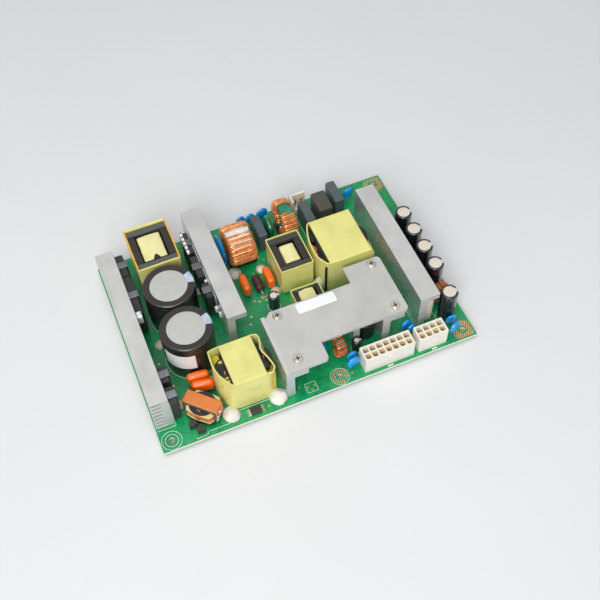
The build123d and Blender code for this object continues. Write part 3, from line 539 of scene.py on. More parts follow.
FLOOR_HALF_SIDE = 4
FLOOR_HEIGHT = -0.0002
plain("floor", (228, 228, 228), 0.8, spread=0.01, waves=4)
floor_bm = bmesh.new()
ops.create_grid(floor_bm, x_segments=2, y_segments=2, size=FLOOR_HALF_SIDE)
floor_mesh = bpy.data.meshes.new("floor")
moved(floor_bm, z=FLOOR_HEIGHT).to_mesh(floor_mesh)
floor_bm.free()
floor_mesh.materials.append(FINISHES["floor"])
floor = shown("floor", floor_mesh)


# circuit board
dress("board_mask", "circuit_board")
PRINT, COPPER, TIN = 0, 1, 2
prints = Piece("board_print", "board", "white_print bare_copper tinned_wire")
MOUNT_HOLES = ((6.35, 5.8), (183.65, 5.8), (6.35, 127.2), (183.65, 127.2))
MIDDLE_HOLE = (105.8, 5.8)
HOLE_RADIUS = 1.75
PRINT_THICKNESS = 0.03
PAD_THICKNESS = 0.04
UNDERSIDE = -BOARD_THICKNESS - PLATING
HATCH_PITCH = 1.2
SHORTEST_STRIP = 0.6
BARE_EDGE = 1
BARE_LIMITS = (((BARE_EDGE, BARE_EDGE, 0), 1), ((BOARD_LENGTH - BARE_EDGE, BOARD_WIDTH - BARE_EDGE, 0), -1))


def printed_lines(points, width=0.3):
    """Printed lines from point to point."""
    half = width / 2
    for (x0, y0), (x1, y1) in zip(points, points[1:]):
        bar = slab(rectangle(-half, -half, hypot(x1 - x0, y1 - y0) + half, half), 0, PRINT_THICKNESS)
        prints.add(bar, PRINT, x0, y0, 0, degrees(atan2(y1 - y0, x1 - x0)))


def printed_box(*corners):
    outline = rectangle(*corners)
    printed_lines(outline + outline[:1], 0.25)


def hatched_copper(hole, inner, outer, turn, bar):
    """Bare copper strips round a hole; they end before the board does."""
    count = int(outer / HATCH_PITCH)
    for index in range(-count, count + 1):
        across = index * HATCH_PITCH
        reach = (outer ** 2 - across ** 2) ** 0.5
        gap = max(0, inner ** 2 - across ** 2) ** 0.5
        for start, stop in ((-reach, -gap), (gap, reach)) if gap else ((-reach, reach),):
            if stop - start < SHORTEST_STRIP:
                continue
            strip = slab(rectangle(start, across - bar / 2, stop, across + bar / 2), 0, PAD_THICKNESS)
            moved(strip, *hole, 0, turn)
            for point, inward in BARE_LIMITS:
                for normal in ((inward, 0, 0), (0, inward, 0)):
                    geometry = strip.verts[:] + strip.edges[:] + strip.faces[:]
                    ops.bisect_plane(strip, geom=geometry, plane_co=point, plane_no=normal, clear_inner=True)
            prints.add(strip, COPPER)


for x, y in MOUNT_HOLES + (MIDDLE_HOLE,):
    prints.add(flat_ring(HOLE_RADIUS, HOLE_RADIUS + 0.45, UNDERSIDE), TIN, x, y)
for x, y in MOUNT_HOLES[::2]:
    prints.add(flat_ring(3.5, 3.75), PRINT, x, y)
    prints.add(flat_ring(5.45, 5.7), PRINT, x, y)
prints.add(flat_ring(5.1, 5.35), PRINT, *MIDDLE_HOLE)
hatched_copper(MIDDLE_HOLE, 2.5, 4.6, 45, 0.55)
for hole in MOUNT_HOLES[1::2]:
    hatched_copper(hole, 2.6, 6.6, 62, 0.6)
printed_box(85.3, 3, 91.6, 8.9)
for x, y in ((86.4, 6.6), (90.5, 6.6), (88.4, 4.2), (82, 8.2)):
    prints.add(disc(0.62, 0.05, 12), COPPER, x, y)
for line in (((0.9, 13.6), (11.4, 13.6), (11.4, 16.5)), ((27.6, 3), (38.8, 3)),
             ((19.2, 1.4), (25.4, 1.4), (26.4, 3)), ((44.6, 8.4), (66, 8.4))):
    printed_lines(line)
for low_x, high_x in ((133.4, 137), (161.4, 164.6)):
    prints.add(slab(rectangle(low_x, 0.7, high_x, 1.5), 0, PRINT_THICKNESS), PRINT)
CHIP_PLACE = (54.6, 4.45)
CHIP_LEAD_PITCH = 1.1
for index in range(8):
    pad_x = CHIP_PLACE[0] + (4.1 if index % 2 else -4.1)
    pad_y = CHIP_PLACE[1] + (index // 2 - 1.5) * CHIP_LEAD_PITCH
    prints.add(slab(rectangle(-0.75, -0.32, 0.75, 0.32), 0, PAD_THICKNESS), COPPER, pad_x, pad_y)
for box in ((159.6, 17, 173, 107), (134.6, 118.4, 151.2, 126), (137.4, 108.4, 148.6, 125.6),
            (127.2, 103.6, 134.8, 122.2)):
    printed_box(*box)
for node in ("bulk_capacitor_sleeves", "output_capacitor_sleeves"):
    for middle, half, turn in solids(node):
        prints.add(flat_ring(half.x + 0.24, half.x + 0.5), PRINT, *middle.xy)
random.seed(11)
VIAS = ((17.4, 46.7), (17.6, 37.2), (80, 72.4), (82.6, 71), (86.8, 70.4), (88.6, 72.6), (76, 49),
        (72, 58), (74.2, 62.8), (95.6, 51.4), (93.4, 57.2), (100.2, 49.4), (150.6, 103.6), (154.2, 108),
        (158.2, 112.2), (150.2, 128.4), (170.6, 113), (175.4, 118.8), (178.2, 95), (186.6, 33),
        (70.8, 43.6), (70.2, 27.8), (45.6, 6.2), (62.4, 4.6), (13.6, 30.4), (14.2, 54), (79.6, 96.6),
        (96.2, 98.8), (108.6, 101.4), (94, 101.8), (120.4, 9.4), (113.2, 5.2), (157.4, 16.4))
for x, y in VIAS:
    prints.add(flat_ring(0.3, 0.6 + 0.2 * random.random(), 0, 0.05, 14), COPPER, x, y)
    prints.add(disc(0.3, PAD_THICKNESS, 10), TIN, x, y)
for middle, half, turn in solids("solder_joints"):
    outer = half.x + 0.28
    prints.add(flat_ring(0.45 * outer, outer, UNDERSIDE, PLATING, 16), TIN, *middle.xy)
prints.build(angle=60)

# heatsinks, cover plate and brackets
FRONT_BACK = 0.7


def metal_face(centre, normal):
    """Sawn ends have their own finish."""
    return abs(normal.y) > FRONT_BACK


def web_face(centre, normal):
    """An angle profile's upright web is smoother than its top."""
    return 2 if abs(normal.x) > FRONT_BACK else metal_face(centre, normal)


eased("left_heatsink", "heatsink_metal", 0.28, "extruded_aluminium sawn_aluminium", metal_face)
for node, width in (("middle_heatsink", 0.35), ("right_heatsink", 0.35), ("cover_left_bracket", 0.3),
                    ("cover_right_bracket", 0.3), ("cover_middle_bracket", 0.25)):
    eased(node, "heatsink_metal", width, "extruded_aluminium sawn_aluminium smooth_web", web_face)
eased("cover_plate", "plate_metal", 0.3, "rolled_plate")
SCREWS = [middle for middle, half, turn in solids("cover_screws")]
PLATE_TOP = 25.2
RECESS_RADIUS = 1.7
RECESS_FLOOR = PLATE_TOP + 1.4


def screw_face(centre, normal):
    """The cross recess gets a dark painted shade; the head stays bright steel."""
    from_axis = min(hypot(centre.x - screw.x, centre.y - screw.y) for screw in SCREWS)
    inside = from_axis < RECESS_RADIUS and centre.z > PLATE_TOP
    return inside and (abs(normal.z) < 0.3 or centre.z < RECESS_FLOOR)


eased("cover_screws", "steel", 0.22, "nickel_steel screw_recess", screw_face, 3)
dress("tinned_wire", "heatsink_pins")

marks = Piece("cover_label", "plate_metal", "label_paper rolled_plate")
label = brick((95, 38.2, PLATE_TOP), (118.4, 45, PLATE_TOP + 0.12))
marks.add(bevel(label, [edge for edge in label.edges if rise(edge) > 0.05], 1.1, 5), 0)
for x, y in ((145.9, 36.8), (83.7, 27)):
    dent = lathe([(0, 0.04), (0.35, 0.05), (0.75, 0.28), (1, 0.28), (1.25, 0)], 20)
    marks.add(dent, 1, x, y, PLATE_TOP - 0.02)
marks.build()

# electrolytic capacitors
STRIPE_HALF_ANGLE = 17


def away(centre, turn):
    """The angle between a place round the upright axis and a direction, in degrees."""
    return degrees(Vector((cos(radians(turn)), sin(radians(turn)))).angle(centre.xy, 0))


def can_piece(stem, lip, edge, bead, lid, sleeve, ring, stripe_turn, steps, recess, dashes):
    """Cans in shrunk sleeves: each has a turned-in rim, a sunk lid and a printed stripe."""
    piece = Piece(stem + "s", "sleeve_black", f"{sleeve} sleeve_stripe {lid} stripe_mark {ring}")
    for middle, half, turn in solids(stem + "_sleeves"):
        outer = half.x
        top = middle.z + half.z
        rim = outer - lip
        profile = [(outer - 0.5, 0), (outer, 0.25)]
        if bead:
            profile += [(outer, top - 5.4), (outer - 0.38, top - 4.6), (outer - 0.38, top - 4.2),
                        (outer, top - 3.4)]
        for turn_in in range(0, 91, 18):
            profile.append((outer - edge + edge * cos(radians(turn_in)),
                            top - edge + edge * sin(radians(turn_in))))
        profile += [((outer - edge + rim) / 2, top - 0.02), (rim + 0.12, top - 0.06),
                    (rim, top - 0.16), (rim, top - 0.42)]

        def sleeve_face(centre, normal):
            """1 is the stripe, 4 the turned-in rim."""
            if away(centre, stripe_turn) < STRIPE_HALF_ANGLE:
                return 1
            return 4 if centre.z > top - edge * 0.1 else 0

        piece.add(lathe(profile, steps), sleeve_face, *middle.xy)
        sunk = top - recess
        cover = lathe([(0, sunk + 0.05), (rim * 0.55, sunk + 0.04), (rim * 0.93, sunk),
                       (rim * 0.97, sunk - 0.12), (rim + 0.3, sunk - 0.1)], steps)
        piece.add(cover, 2, *middle.xy)
        for index in range(dashes):
            z = top * (0.16 + 0.68 * index / (dashes - 1))
            mark = brick((outer - 0.06, -outer * 0.07, z - 0.35), (outer + 0.03, outer * 0.07, z + 0.35))
            piece.add(mark, 3, *middle.xy, 0, stripe_turn)
    piece.build(stem + "_sleeves", stem + "_cans")


can_piece("bulk_capacitor", 4.1, 1.2, True, "can_lid", "bulk_sleeve", "bulk_ring", 3, 90, 0.3, 5)
can_piece("output_capacitor", 1.3, 0.8, False, "coated_lid", "output_sleeve", "output_sleeve", -8, 40,
          0.25, 4)

LABEL_FROM, LABEL_TO = radians(196), radians(268)
middle, half, turn = solids("bulk_capacitor_sleeves")[0]
paper = bmesh.new()
radius = half.x + 0.01
upright = [paper.verts.new((radius * cos(LABEL_FROM), radius * sin(LABEL_FROM), z)) for z in (10.5, 23.4)]
ops.spin(paper, geom=upright + [paper.edges.new(upright)], cent=(0, 0, 0), axis=(0, 0, 1),
         angle=LABEL_TO - LABEL_FROM, steps=20)
sleeve_label = Piece("sleeve_label", "sleeve_black", "label_paper")
sleeve_label.add(thickened(paper, 0.04), 0, *middle.xy)
sleeve_label.build()


# wound parts
def skirt(loops):
    """Closed loops of equal length, one above the other, joined into a wall."""
    bm = bmesh.new()
    rows = []
    for loop in loops:
        verts = [bm.verts.new(point) for point in loop]
        rows.append([bm.edges.new(pair) for pair in zip(verts, verts[1:] + verts[:1])])
    for lower, upper in zip(rows, rows[1:]):
        ops.bridge_loops(bm, edges=lower + upper)
    return outward(bm)


STAND = 1.8
CORE_TOP = STAND + 25.4
BAND_THICKNESS = 0.42
TAPE_THICKNESS = 0.75
RIM_SAG = 0.3
DARK_GAP_X = 151.5
DARK_GAP_DEPTH = 10


def tape_wall(outline, low, high, seed):
    """A wall of tape; its outline has x and y at the top, then x and y at the belly.

    In the dark gap beside the right heatsink the wall stops lower.
    """
    loops = []
    for level in (0, 0.08, 0.35, 0.65, 0.85, 0.96, 1):
        towards_top = max(0, level * 2 - 1) ** 1.4
        loop = []
        for tx, ty, bx, by in outline:
            x = bx + (tx - bx) * towards_top
            y = by + (ty - by) * towards_top
            rim = high - (DARK_GAP_DEPTH if tx > DARK_GAP_X else 0)
            wave = noise.noise(Vector((x * 0.35 + seed, y * 0.35, high * 0.2)))
            loop.append((x, y, low + (rim - low) * level + (wave * RIM_SAG if level == 1 else 0)))
        loops.append(loop)
    return thickened(skirt(loops), TAPE_THICKNESS)


def refined(bm, cuts=1):
    ops.subdivide_edges(bm, edges=bm.edges[:], cuts=cuts, use_grid_fill=True)
    return bm


def crumpled(low, high, seed, rim=0.6, cuts=3, amount=0.25, scale=0.6):
    """A wad or flap of crumpled tape."""
    bm = refined(brick(low, high, rim), cuts)
    for vert in bm.verts:
        vert.co += noise.noise_vector(vert.co * scale + Vector((seed, 0, 0))) * amount
    return bm


def upright_wound(name, centre, half_x, half_y, outline, seed):
    """An upright transformer: tape over its core, and its winding bulging at both sides."""
    piece = Piece(name, "yellow_tape", "yellow_tape tape_edge mustard_tape bobbin_plastic "
                  "enamelled_copper black_plastic beige_silicone")
    half_y += BAND_THICKNESS
    band = brick((-half_x, -half_y, STAND + 1), (half_x, half_y, CORE_TOP + BAND_THICKNESS), 0.55, 4)
    piece.add(band, 0, *centre)
    piece.add(tape_wall(outline, 0.6, CORE_TOP - 0.1, seed), 0)
    return piece


FRONT_WALL = ((45.9, 9.1, 45.9, 9.1), (52, 9.1, 52, 9), (58.6, 9.1, 58.6, 9), (64.9, 9.1, 64.9, 9.1),
              (66.6, 8.7, 67.2, 10.6), (68.2, 8.6, 69.2, 12.8), (70.2, 11.6, 71.2, 15.8),
              (69.8, 15, 71.9, 18.6), (68.8, 19.2, 72.1, 21.2), (67.4, 23, 72.1, 23.4),
              (67.2, 25.6, 71.9, 26), (68.3, 28.8, 71.2, 29), (68.8, 31.6, 69.2, 31.8),
              (68.3, 34.6, 67.2, 34), (65.6, 35.4, 64.9, 35.4), (58.6, 35.5, 58.6, 35.5),
              (52, 35.5, 52, 35.5), (45.4, 35.4, 45.9, 35.4), (42, 35.2, 43.6, 34),
              (39.6, 34.5, 41.4, 31.6), (39.2, 30.5, 39.5, 28.6), (39.1, 26, 38.8, 25.4),
              (39.3, 22, 38.8, 20.6), (40.3, 18.4, 39.4, 16.6), (41.9, 15, 41.4, 13),
              (44.2, 10.8, 43.6, 10.6))
front = upright_wound("front_transformer_wrap", (55.4, 22.3), 9.4, 12.7, FRONT_WALL, 2)
rim = CORE_TOP - 4.6
# Wads of tape inside the wall; finish 2 is tape with painted shade.
front.add(crumpled((40.6, 14.5, 3), (45, 33.6, rim), 3), 2)
front.add(crumpled((66, 11.5, 3), (70.2, 32.4, rim - 2.5), 8), 2)
front.bricks(3, 0.3, ((42.4, 17.4, rim - 0.6), (45.6, 21, rim + 1.4)),
             ((42, 22.8, rim - 0.6), (45.4, 24.6, rim + 1)),
             ((65.2, 14.6, rim - 3), (68, 20.4, rim + 1.2)),
             ((65.2, 26, rim - 3), (67.4, 30.6, rim + 0.8)))
# Small bits of tape: finish 0 is plain tape, 2 is tape with painted shade.
for y, lift, number in ((13.4, 2, 0), (15.6, 2.4, 2), (26.8, 1.5, 2)):
    front.add(crumpled((43.2, y, rim - 0.5), (45.4, y + 1.4, rim + lift), y, 0.3, 1, 0.3, 0.7), number)
front.strands(4, 0.35, [(66.2, 23, rim - 1), (67, 22.4, rim + 2), (67.2, 20.8, rim + 2.2),
                        (66.2, 19.8, rim - 1)],
              [(43.6, 19, rim), (44.4, 19.2, rim + 2), (44.6, 21.4, rim + 2.1),
               (44, 22.4, rim)])
front.build("front_transformer_tape", "front_transformer_winding", angle=40)

LARGE_WALL = ((124.2, 61.5, 124.2, 61.5), (132, 61.4, 132, 61.4), (142, 61.4, 142, 61.4),
              (150.6, 61.5, 150.6, 61.5), (153, 63, 152.6, 63.6), (154.6, 66, 154.4, 66.8),
              (155, 70, 155, 71), (155, 76, 155.1, 76), (155, 82, 155.1, 80.6),
              (154.6, 88, 154.8, 85.4), (153.2, 92.6, 153.4, 90.4), (150.6, 94.5, 150.6, 94.4),
              (142, 94.6, 142, 94.6), (132, 94.6, 132, 94.6), (124.2, 94.5, 124.2, 94.4),
              (122.6, 93.2, 122.6, 91.6), (121, 89, 120.8, 88.6), (119.9, 85, 119.9, 84.6),
              (119.1, 80.6, 119.6, 80.4), (118.7, 75.4, 119.6, 75.4), (118.8, 70, 119.8, 71),
              (120.2, 66, 120.8, 66.8), (122.4, 62.6, 122.6, 63.4))
large = upright_wound("large_transformer_wrap", (137.4, 78), 13.1, 15.9, LARGE_WALL, 6)
rim = CORE_TOP - 5.6
# Wad of tape inside the wall; finish 2 is tape with painted shade.
large.add(crumpled((121.4, 67, 3), (123.9, 90, rim), 7), 2)
large.bricks(3, 0.3, ((121.6, 82, rim - 0.5), (124, 90, rim + 3)),
             ((122.2, 66.4, 6), (124, 72, rim - 1)))
# A flap of tape at the wall, also tape with painted shade.
large.add(crumpled((119.9, 70.6, rim - 8), (120.6, 79.4, CORE_TOP - 1.2), 5, 0.2, 3, 0.35, 0.45), 2)
for y in (77, 77.9, 78.8):
    large.strands(4, 0.42, [(123.6, y, rim - 1), (122.6, y + 0.3, rim + 1.8),
                            (121.8, y - 0.6, rim + 2), (121.4, y - 1.2, rim - 1.5)])
large.add(wire([(123.3, 64, rim + 2.6), (122.2, 62.6, rim + 0.6), (121.6, 61.6, rim - 4),
                (121.4, 61.2, 12), (121.2, 60.9, 6), (121.2, 60.8, 0.4)], 0.75, 3, 2), 5)
large.build("large_transformer_tape", "large_transformer_winding", angle=40)


def pillow(low, high, puff, seed):
    """A taped winding: a box that swells in its middle and creases at its ends."""
    bm = refined(brick(low, high, 1, 3), 4)
    middle = (Vector(low) + Vector(high)) / 2
    half = (Vector(high) - Vector(low)) / 2
    for vert in bm.verts:
        u = (vert.co.x - middle.x) / half.x
        v = (vert.co.y - middle.y) / half.y
        if vert.co.z > middle.z:
            vert.co.z += puff * (1 - u * u) * (1 - 0.6 * v * v) - puff
            vert.co.z += 0.3 * noise.noise(Vector((vert.co.x * 0.5 + seed, vert.co.y * 0.4, 0)))
        vert.co.x += 0.35 * noise.noise(Vector((seed, vert.co.y * 0.5, vert.co.z * 0.3)))
    return bm


def rim_wall(half_x, half_y, low, high, thickness, seed):
    """Tape round a flat core, standing a little proud of its top, with a cut edge."""
    half_x += TAPE_CLEARANCE
    half_y += TAPE_CLEARANCE
    corners = ((-1, -1), (0, -1), (1, -1), (1, 0), (1, 1), (0, 1), (-1, 1), (-1, 0))
    bm = skirt([[(x * (half_x + out), y * (half_y + out), low + (high - low) * level) for x, y in corners]
                for level, out in ((0, 0), (0.2, 0), (0.7, 0.05), (0.92, 0.15), (1, 0.2))])
    upright = [e for e in bm.edges if rise(e) > 0.5 and abs(abs(e.verts[0].co.x) - half_x) < 0.8
               and abs(abs(e.verts[0].co.y) - half_y) < 0.8]
    bevel(bm, upright, 0.7, 3)
    ops.subdivide_edges(bm, edges=[e for e in bm.edges if rise(e) < 0.01 and e.calc_length() > 4], cuts=3)
    for vert in bm.verts:
        wave = noise.noise(Vector((vert.co.x * 0.22 + seed, vert.co.y * 0.22, 0)))
        if vert.co.z > high - 0.5:
            vert.co.z += 0.25 * wave
        if vert.co.z > low + 3:
            vert.co.x += 0.12 * wave
            vert.co.y += 0.12 * wave
    return thickened(bm, thickness)


FLAT_STAND = 1
TAPE_PROUD = 0.8
TAPE_CLEARANCE = 0.45


def flat_wound(stem, centre, core_half, top, pillow_half, pillow_top, seed, plate, rim_number=0,
               notch_painted_shade=None, tape=0.55):
    """A flat transformer: tape round its rim, a taped winding and dark plates over the core's legs."""
    piece = Piece(stem + "_wrap", "yellow_tape",
                  "yellow_tape tape_edge pale_tape lacquered_leg bobbin_plastic")
    x, y = centre
    half_x, half_y = core_half
    rim = top + TAPE_PROUD

    def rim_face(centre, normal):
        """The cut edge of the tape at both sides."""
        return rim_number if normal.z > 0.5 and centre.z > top and abs(centre.x) > half_x - 0.3 else 0

    piece.add(rim_wall(half_x, half_y, FLAT_STAND, rim, tape, seed), rim_face, x, y)
    front_edge = y - pillow_half[1]
    # The taped winding is finish 2, tape paled with a painted highlight.
    piece.add(pillow((x - pillow_half[0], front_edge, FLAT_STAND + 1),
                     (x + pillow_half[0], y + pillow_half[1], pillow_top), 0.9, seed), 2)
    if notch_painted_shade:
        outline = [(x + along, front_edge + across) for along, across in notch_painted_shade]
        # A black slab in the pillow's front notch: painted shade for the dark gap there.
        piece.add(slab(outline, pillow_top - 3, pillow_top + 0.1, 0.08, 1), 4)
        back = y + half_y + 0.3
        side = half_x + 0.2
        piece.bricks(0, 0.3, ((x - side, back, FLAT_STAND), (x + side, back + 1.3, rim + 0.1)))
    inner, outer, reach = plate
    for low_x, high_x in ((x - outer, x - inner), (x + inner, x + outer)):
        piece.bricks(3, 0.1, ((low_x, y - reach, top - 0.1), (high_x, y + reach, top + 0.16)))
        piece.bricks(4, 0.1, ((low_x + 0.5, y - reach, top), (high_x - 0.4, y - reach + 1.4, top + 0.3)),
                     ((low_x + 0.3, y + reach - 2.2, top), (high_x - 0.2, y + reach - 0.6, top + 0.26)))
    piece.build(stem + "_tape", stem + "_winding", angle=40)


flat_wound("rear_transformer", (33.8, 115.6), (12.3, 15), 27.2, (7, 9.6), 27, 1, (7.9, 12.2, 10.7), 1,
           ((-1.9, -0.4), (2.6, -0.4), (0.9, 2.9), (-0.3, 2.7)), 0.9)
flat_wound("centre_transformer", (107.4, 83.1), (9.6, 12.5), 21.8, (4.7, 6.6), 21.6, 3, (5.4, 9.5, 8.6))
flat_wound("small_transformer", (107.6, 56), (8.2, 5.2), 13.8, (5, 4.9), 14.2, 5, (5.8, 8.1, 4.4))
eased("rear_transformer_core", "ferrite", 0.3, "ferrite")
eased("centre_transformer_core", "ferrite", 0.3, "dark_ferrite")
eased("small_transformer_core", "ferrite", 0.25, "dark_ferrite")
dress("ferrite", "front_transformer_core", "large_transformer_core")
for place in ("front", "large", "rear", "centre", "small", "driver"):
    dress("bobbin_plastic", place + "_transformer_bobbin")


# driver transformer, at 45 degrees
DRIVER_PLACE = (28.25, 15.2, 0, 135)
DRIVER_TOP = 12.6
BULGE = ((8, 3.6), (6.6, 6.4), (1.4, 7.3), (-6.8, 6.9), (-8.3, 4.8), (-8.3, 3.6))
FLANGE = ((9.2, 3.4), (7, 7), (-7.6, 7.3), (-9.4, 5.2), (-9.4, 3.4))
driver = Piece("driver_transformer_wrap", "orange_tape",
               "orange_tape cream_tape bobbin_plastic tinned_wire enamelled_copper")
driver.add(brick((-10.5, -4, 3.4), (10.5, 4, DRIVER_TOP + 0.4), 0.7, 3))
for side in (-1, 1):
    bulge, flange = [[(x, side * y) for x, y in outline][::-side] for outline in (BULGE, FLANGE)]
    driver.add(slab(bulge, 4.4, 9.3, 0.35))
    for low, out in ((3.9, 1.05), (9.2, 1.03)):
        driver.add(slab([(x * out, y * out) for x, y in bulge], low, low + 0.3, 0.08, 1), 1)
    driver.add(slab(flange, 2.2, 3.9, 0.15, 1), 2)
# A black lens over the bulge, finish 2: painted shade for the dark opening in the tape there.
opening_painted_shade = [(5.6, 3.9), (4.6, 5.3), (0, 5.9), (-4.2, 5.3), (-5.4, 3.9)]
driver.add(slab(opening_painted_shade, 9.3, 9.9, 0.1, 1), 2)
driver.strands(4, 0.3, [(1.6, 4.6, 9.7), (0.6, 4.8, 10.7), (-0.4, 4.9, 10.8), (-1.2, 5, 9.8)])
for z, y in ((7.2, 1.8), (9.2, -0.6), (5.4, 2.6)):
    driver.strands(3, 0.34, [(-10.4, y, z), (-11, y + 0.4, z + 0.9), (-11, y + 1.6, z + 1.1),
                             (-10.3, y + 2.2, z)])
moved(driver.bm, *DRIVER_PLACE)
driver.build("driver_transformer_tape", "driver_transformer_winding")
eased("driver_transformer_core", "ferrite", 0.3, "ferrite")


# chokes
WINDING_LAYERS = 2
TURN_SAMPLES = 20


def coil(radius, bore, width, gauge, centre_angle, fill, turns, seed, phase=0):
    """Wire wound turn by turn round a ring whose axis lies along x, in layers in the bore."""
    random.seed(seed)
    middle = (radius + bore) / 2
    reach = (radius - bore) / 2 + gauge / 2
    half = width / 2 + gauge / 2
    points = []
    for turn in range(turns):
        layer = turn % WINDING_LAYERS
        lean = random.uniform(-0.3, 0.3)
        lift = random.uniform(0, 0.06) * gauge
        for step in range(TURN_SAMPLES):
            t = 2 * pi * step / TURN_SAMPLES + pi / 2
            c, s = cos(t), sin(t)
            across = half * copysign(abs(c) ** 0.4, c)
            radial = reach * copysign(abs(s) ** 0.4, s)
            depth = max(0, -s) * layer * gauge * 0.86
            share = (turn + phase + step / TURN_SAMPLES) / turns
            angle = radians(centre_angle - fill / 2 + fill * share + lean * max(0, s))
            rho = middle + radial - depth - lift * max(0, s)
            points.append((across, -rho * sin(angle), rho * cos(angle)))
    return wire(points, gauge / 2)


def ring_core(radius, bore, width, ease, steps):
    """A coated ring on edge, its axis along x."""
    half = width / 2
    core = lathe([(bore, ease - half), (bore + ease, -half), (radius - ease, -half), (radius, ease - half),
                  (radius, half - ease), (radius - ease, half), (bore + ease, half), (bore, half - ease),
                  (bore, ease - half)], steps)
    return moved(core, turn=90, axis="Y")


LEFT_CHOKE = (83.5, 106.5)
RIGHT_CHOKE = (116.4, 113)
CHOKE_LIFT = 0.8 + 0.3 + 12.8
CHOKE_WIRE = 1.36
input_chokes = Piece("input_chokes", "copper_wire", "enamelled_copper white_coating green_coating")
for centre, width, gap, fill, turns, core_number, seed in (
        (LEFT_CHOKE, 14.2, 0, 160, 22, 1, 4), (RIGHT_CHOKE, 7, 8, 146, 21, 2, 9)):
    input_chokes.add(ring_core(11.4, 6.6, width, 1, 64), core_number, *centre, CHOKE_LIFT)
    for side in (-1, 1):
        winding = coil(11.4, 6.6, width, CHOKE_WIRE, gap + side * 90, fill, turns, seed + side)
        input_chokes.add(winding, 0, *centre, CHOKE_LIFT)
# strips of the ring's coating that show between turns of the left choke
for half_x, half_y, angle in ((6.9, 1.5, 4), (6.4, 0.36, 20.9), (6.4, 0.3, 35.5), (5.6, 0.26, 50)):
    strip = brick((-half_x, -half_y, 11.5), (half_x, half_y, 12.72), 0.2)
    input_chokes.add(strip, 1, *LEFT_CHOKE, CHOKE_LIFT, angle, "X")
input_chokes.build("input_choke_windings", "input_choke_cores")
eased("input_choke_bases", "black_plastic", 0.4, "black_plastic")

output_chokes = Piece("output_chokes", "red_wire", "red_enamel green_coating enamelled_copper")
for x, y, turn, gap in ((111.3, 22, 0, 30), (179, 29.4, 90, 0)):
    output_chokes.add(ring_core(7.2, 3.4, 5, 0.5, 44), 1, x, y, 8.1, turn)
    for seed, phase, number in ((3, 0, 0), (5, 0.45, 2)):
        winding = coil(7.2, 3.4, 5, 0.88, gap, 252, 11, seed, phase)
        output_chokes.add(winding, number, x, y, 8.1, turn)
output_chokes.build("output_choke_windings", "output_choke_cores")


# dipped, moulded and leaded parts
LEAD_RADIUS = 0.32
LEAD_LENGTH = 2


def dipped(piece, x, y, turn, radius, thickness):
    """A coated disc standing on edge, thicker in its middle, running down its two leads."""
    section = ((0, 1), (0.45, 0.96), (0.78, 0.78), (0.95, 0.42))
    near = [(radius * out, -thickness / 2 * up) for out, up in section]
    far = [(out, -up) for out, up in reversed(near)]
    bm = moved(lathe(near + [(radius, 0)] + far, 28), turn=90, axis="X")
    for vert in bm.verts:
        droop = max(0, -vert.co.z / radius)
        vert.co.x *= 1 - 0.06 * droop
        vert.co.z -= 0.06 * radius * droop * abs(vert.co.x) / radius
    piece.add(bm, 0, x, y, LEAD_LENGTH + radius, turn)
    for along in (-radius / 2, radius / 2):
        lead = wire([(along, 0, z) for z in (0, LEAD_LENGTH, LEAD_LENGTH + radius / 2)], LEAD_RADIUS)
        piece.add(lead, 1, x, y, 0, turn)
        sock = lathe([(0, 1), (0.45, 1.2), (0.75, 2.2), (0.95, 3.4), (0, 4.2)], 12)
        piece.add(moved(sock, along), 0, x, y, 0, turn)


discs = Piece("disc_capacitor_coats", "blue_dip", "blue_dip tinned_wire")
for middle, half, turn in solids("disc_capacitors"):
    radius = (middle.z + half.z - LEAD_LENGTH) / 2
    dipped(discs, *middle.xy, turn, radius, 1.9 + 0.15 * radius)
discs.build("disc_capacitors")

varistor = Piece("varistor_coat", "green_dip", "green_dip tinned_wire")
dipped(varistor, 106.02, 115.045, 90, 7.2, 4.4)
varistor.build("varistor")

FILM_HALF = Vector((6.4, 2.5, 4.3))
films = Piece("film_capacitor_coats", "orange_dip", "orange_dip tinned_wire")
for middle, half, turn in solids("film_capacitors"):
    body = refined(brick(-FILM_HALF, FILM_HALF, 2.1, 4))
    for vert in body.verts:
        swell = 1 - (vert.co.x / FILM_HALF.x) ** 2
        vert.co.y *= 0.9 + 0.1 * swell
        vert.co.z *= 0.94 + 0.06 * swell
    films.add(body, 0, *middle.xy, 2.2 + FILM_HALF.z, turn)
    for along in (-3.2, 3.2):
        films.add(wire([(along, 0, 0), (along, 0, 3.4)], LEAD_RADIUS), 1, *middle.xy, 0, turn)
films.build("film_capacitors")

eased("box_capacitors", "grey_box", 0.25, "grey_box")
eased("relay", "black_plastic", 0.25, "relay_case")
eased("drum_choke", "black_plastic", 0.4, "black_plastic")
RESISTOR_Y = solids("resistor")[0][0].y


def resistor_face(centre, normal):
    """Tinned leads and a dark coat."""
    return abs(centre.y - RESISTOR_Y) > 5.25 or centre.z < 0.6


eased("resistor", "resistor_body", 0.25, "resistor_coat tinned_wire", resistor_face)
bands = Piece("resistor_bands", "resistor_body", "resistor_band")
for along, width in ((-3.6, 0.7), (-1.6, 0.5), (0.2, 0.5), (3.4, 0.9)):
    bands.add(flat_ring(2.7, 2.84, along, width, 32), 0, 85.88, 81.4, 3.4, 90, "X")
bands.build()
pad = Piece("resistor_pad", "board", "bare_copper")
pad.add(lathe([(0, 0.05), (1.2, 0.05), (1.3, 0), (0, 0)], 20), 0, 85.88, 73.4)
pad.build()


# headers
def header_face(centre, normal):
    """The sockets' inner faces get a tan painted shade, deep in the moulding."""
    inside = abs(normal.z) < 0.5 and centre.z > 2 and 3.4 < centre.y < 10.4
    bottom = normal.z > 0.5 and centre.z < 6 and 3 < centre.y < 10.8
    outer_wall = any(abs(centre.x - x) < 0.15 for x in (119.85, 150.45, 153.3, 171.3))
    return (inside or bottom) and not outer_wall


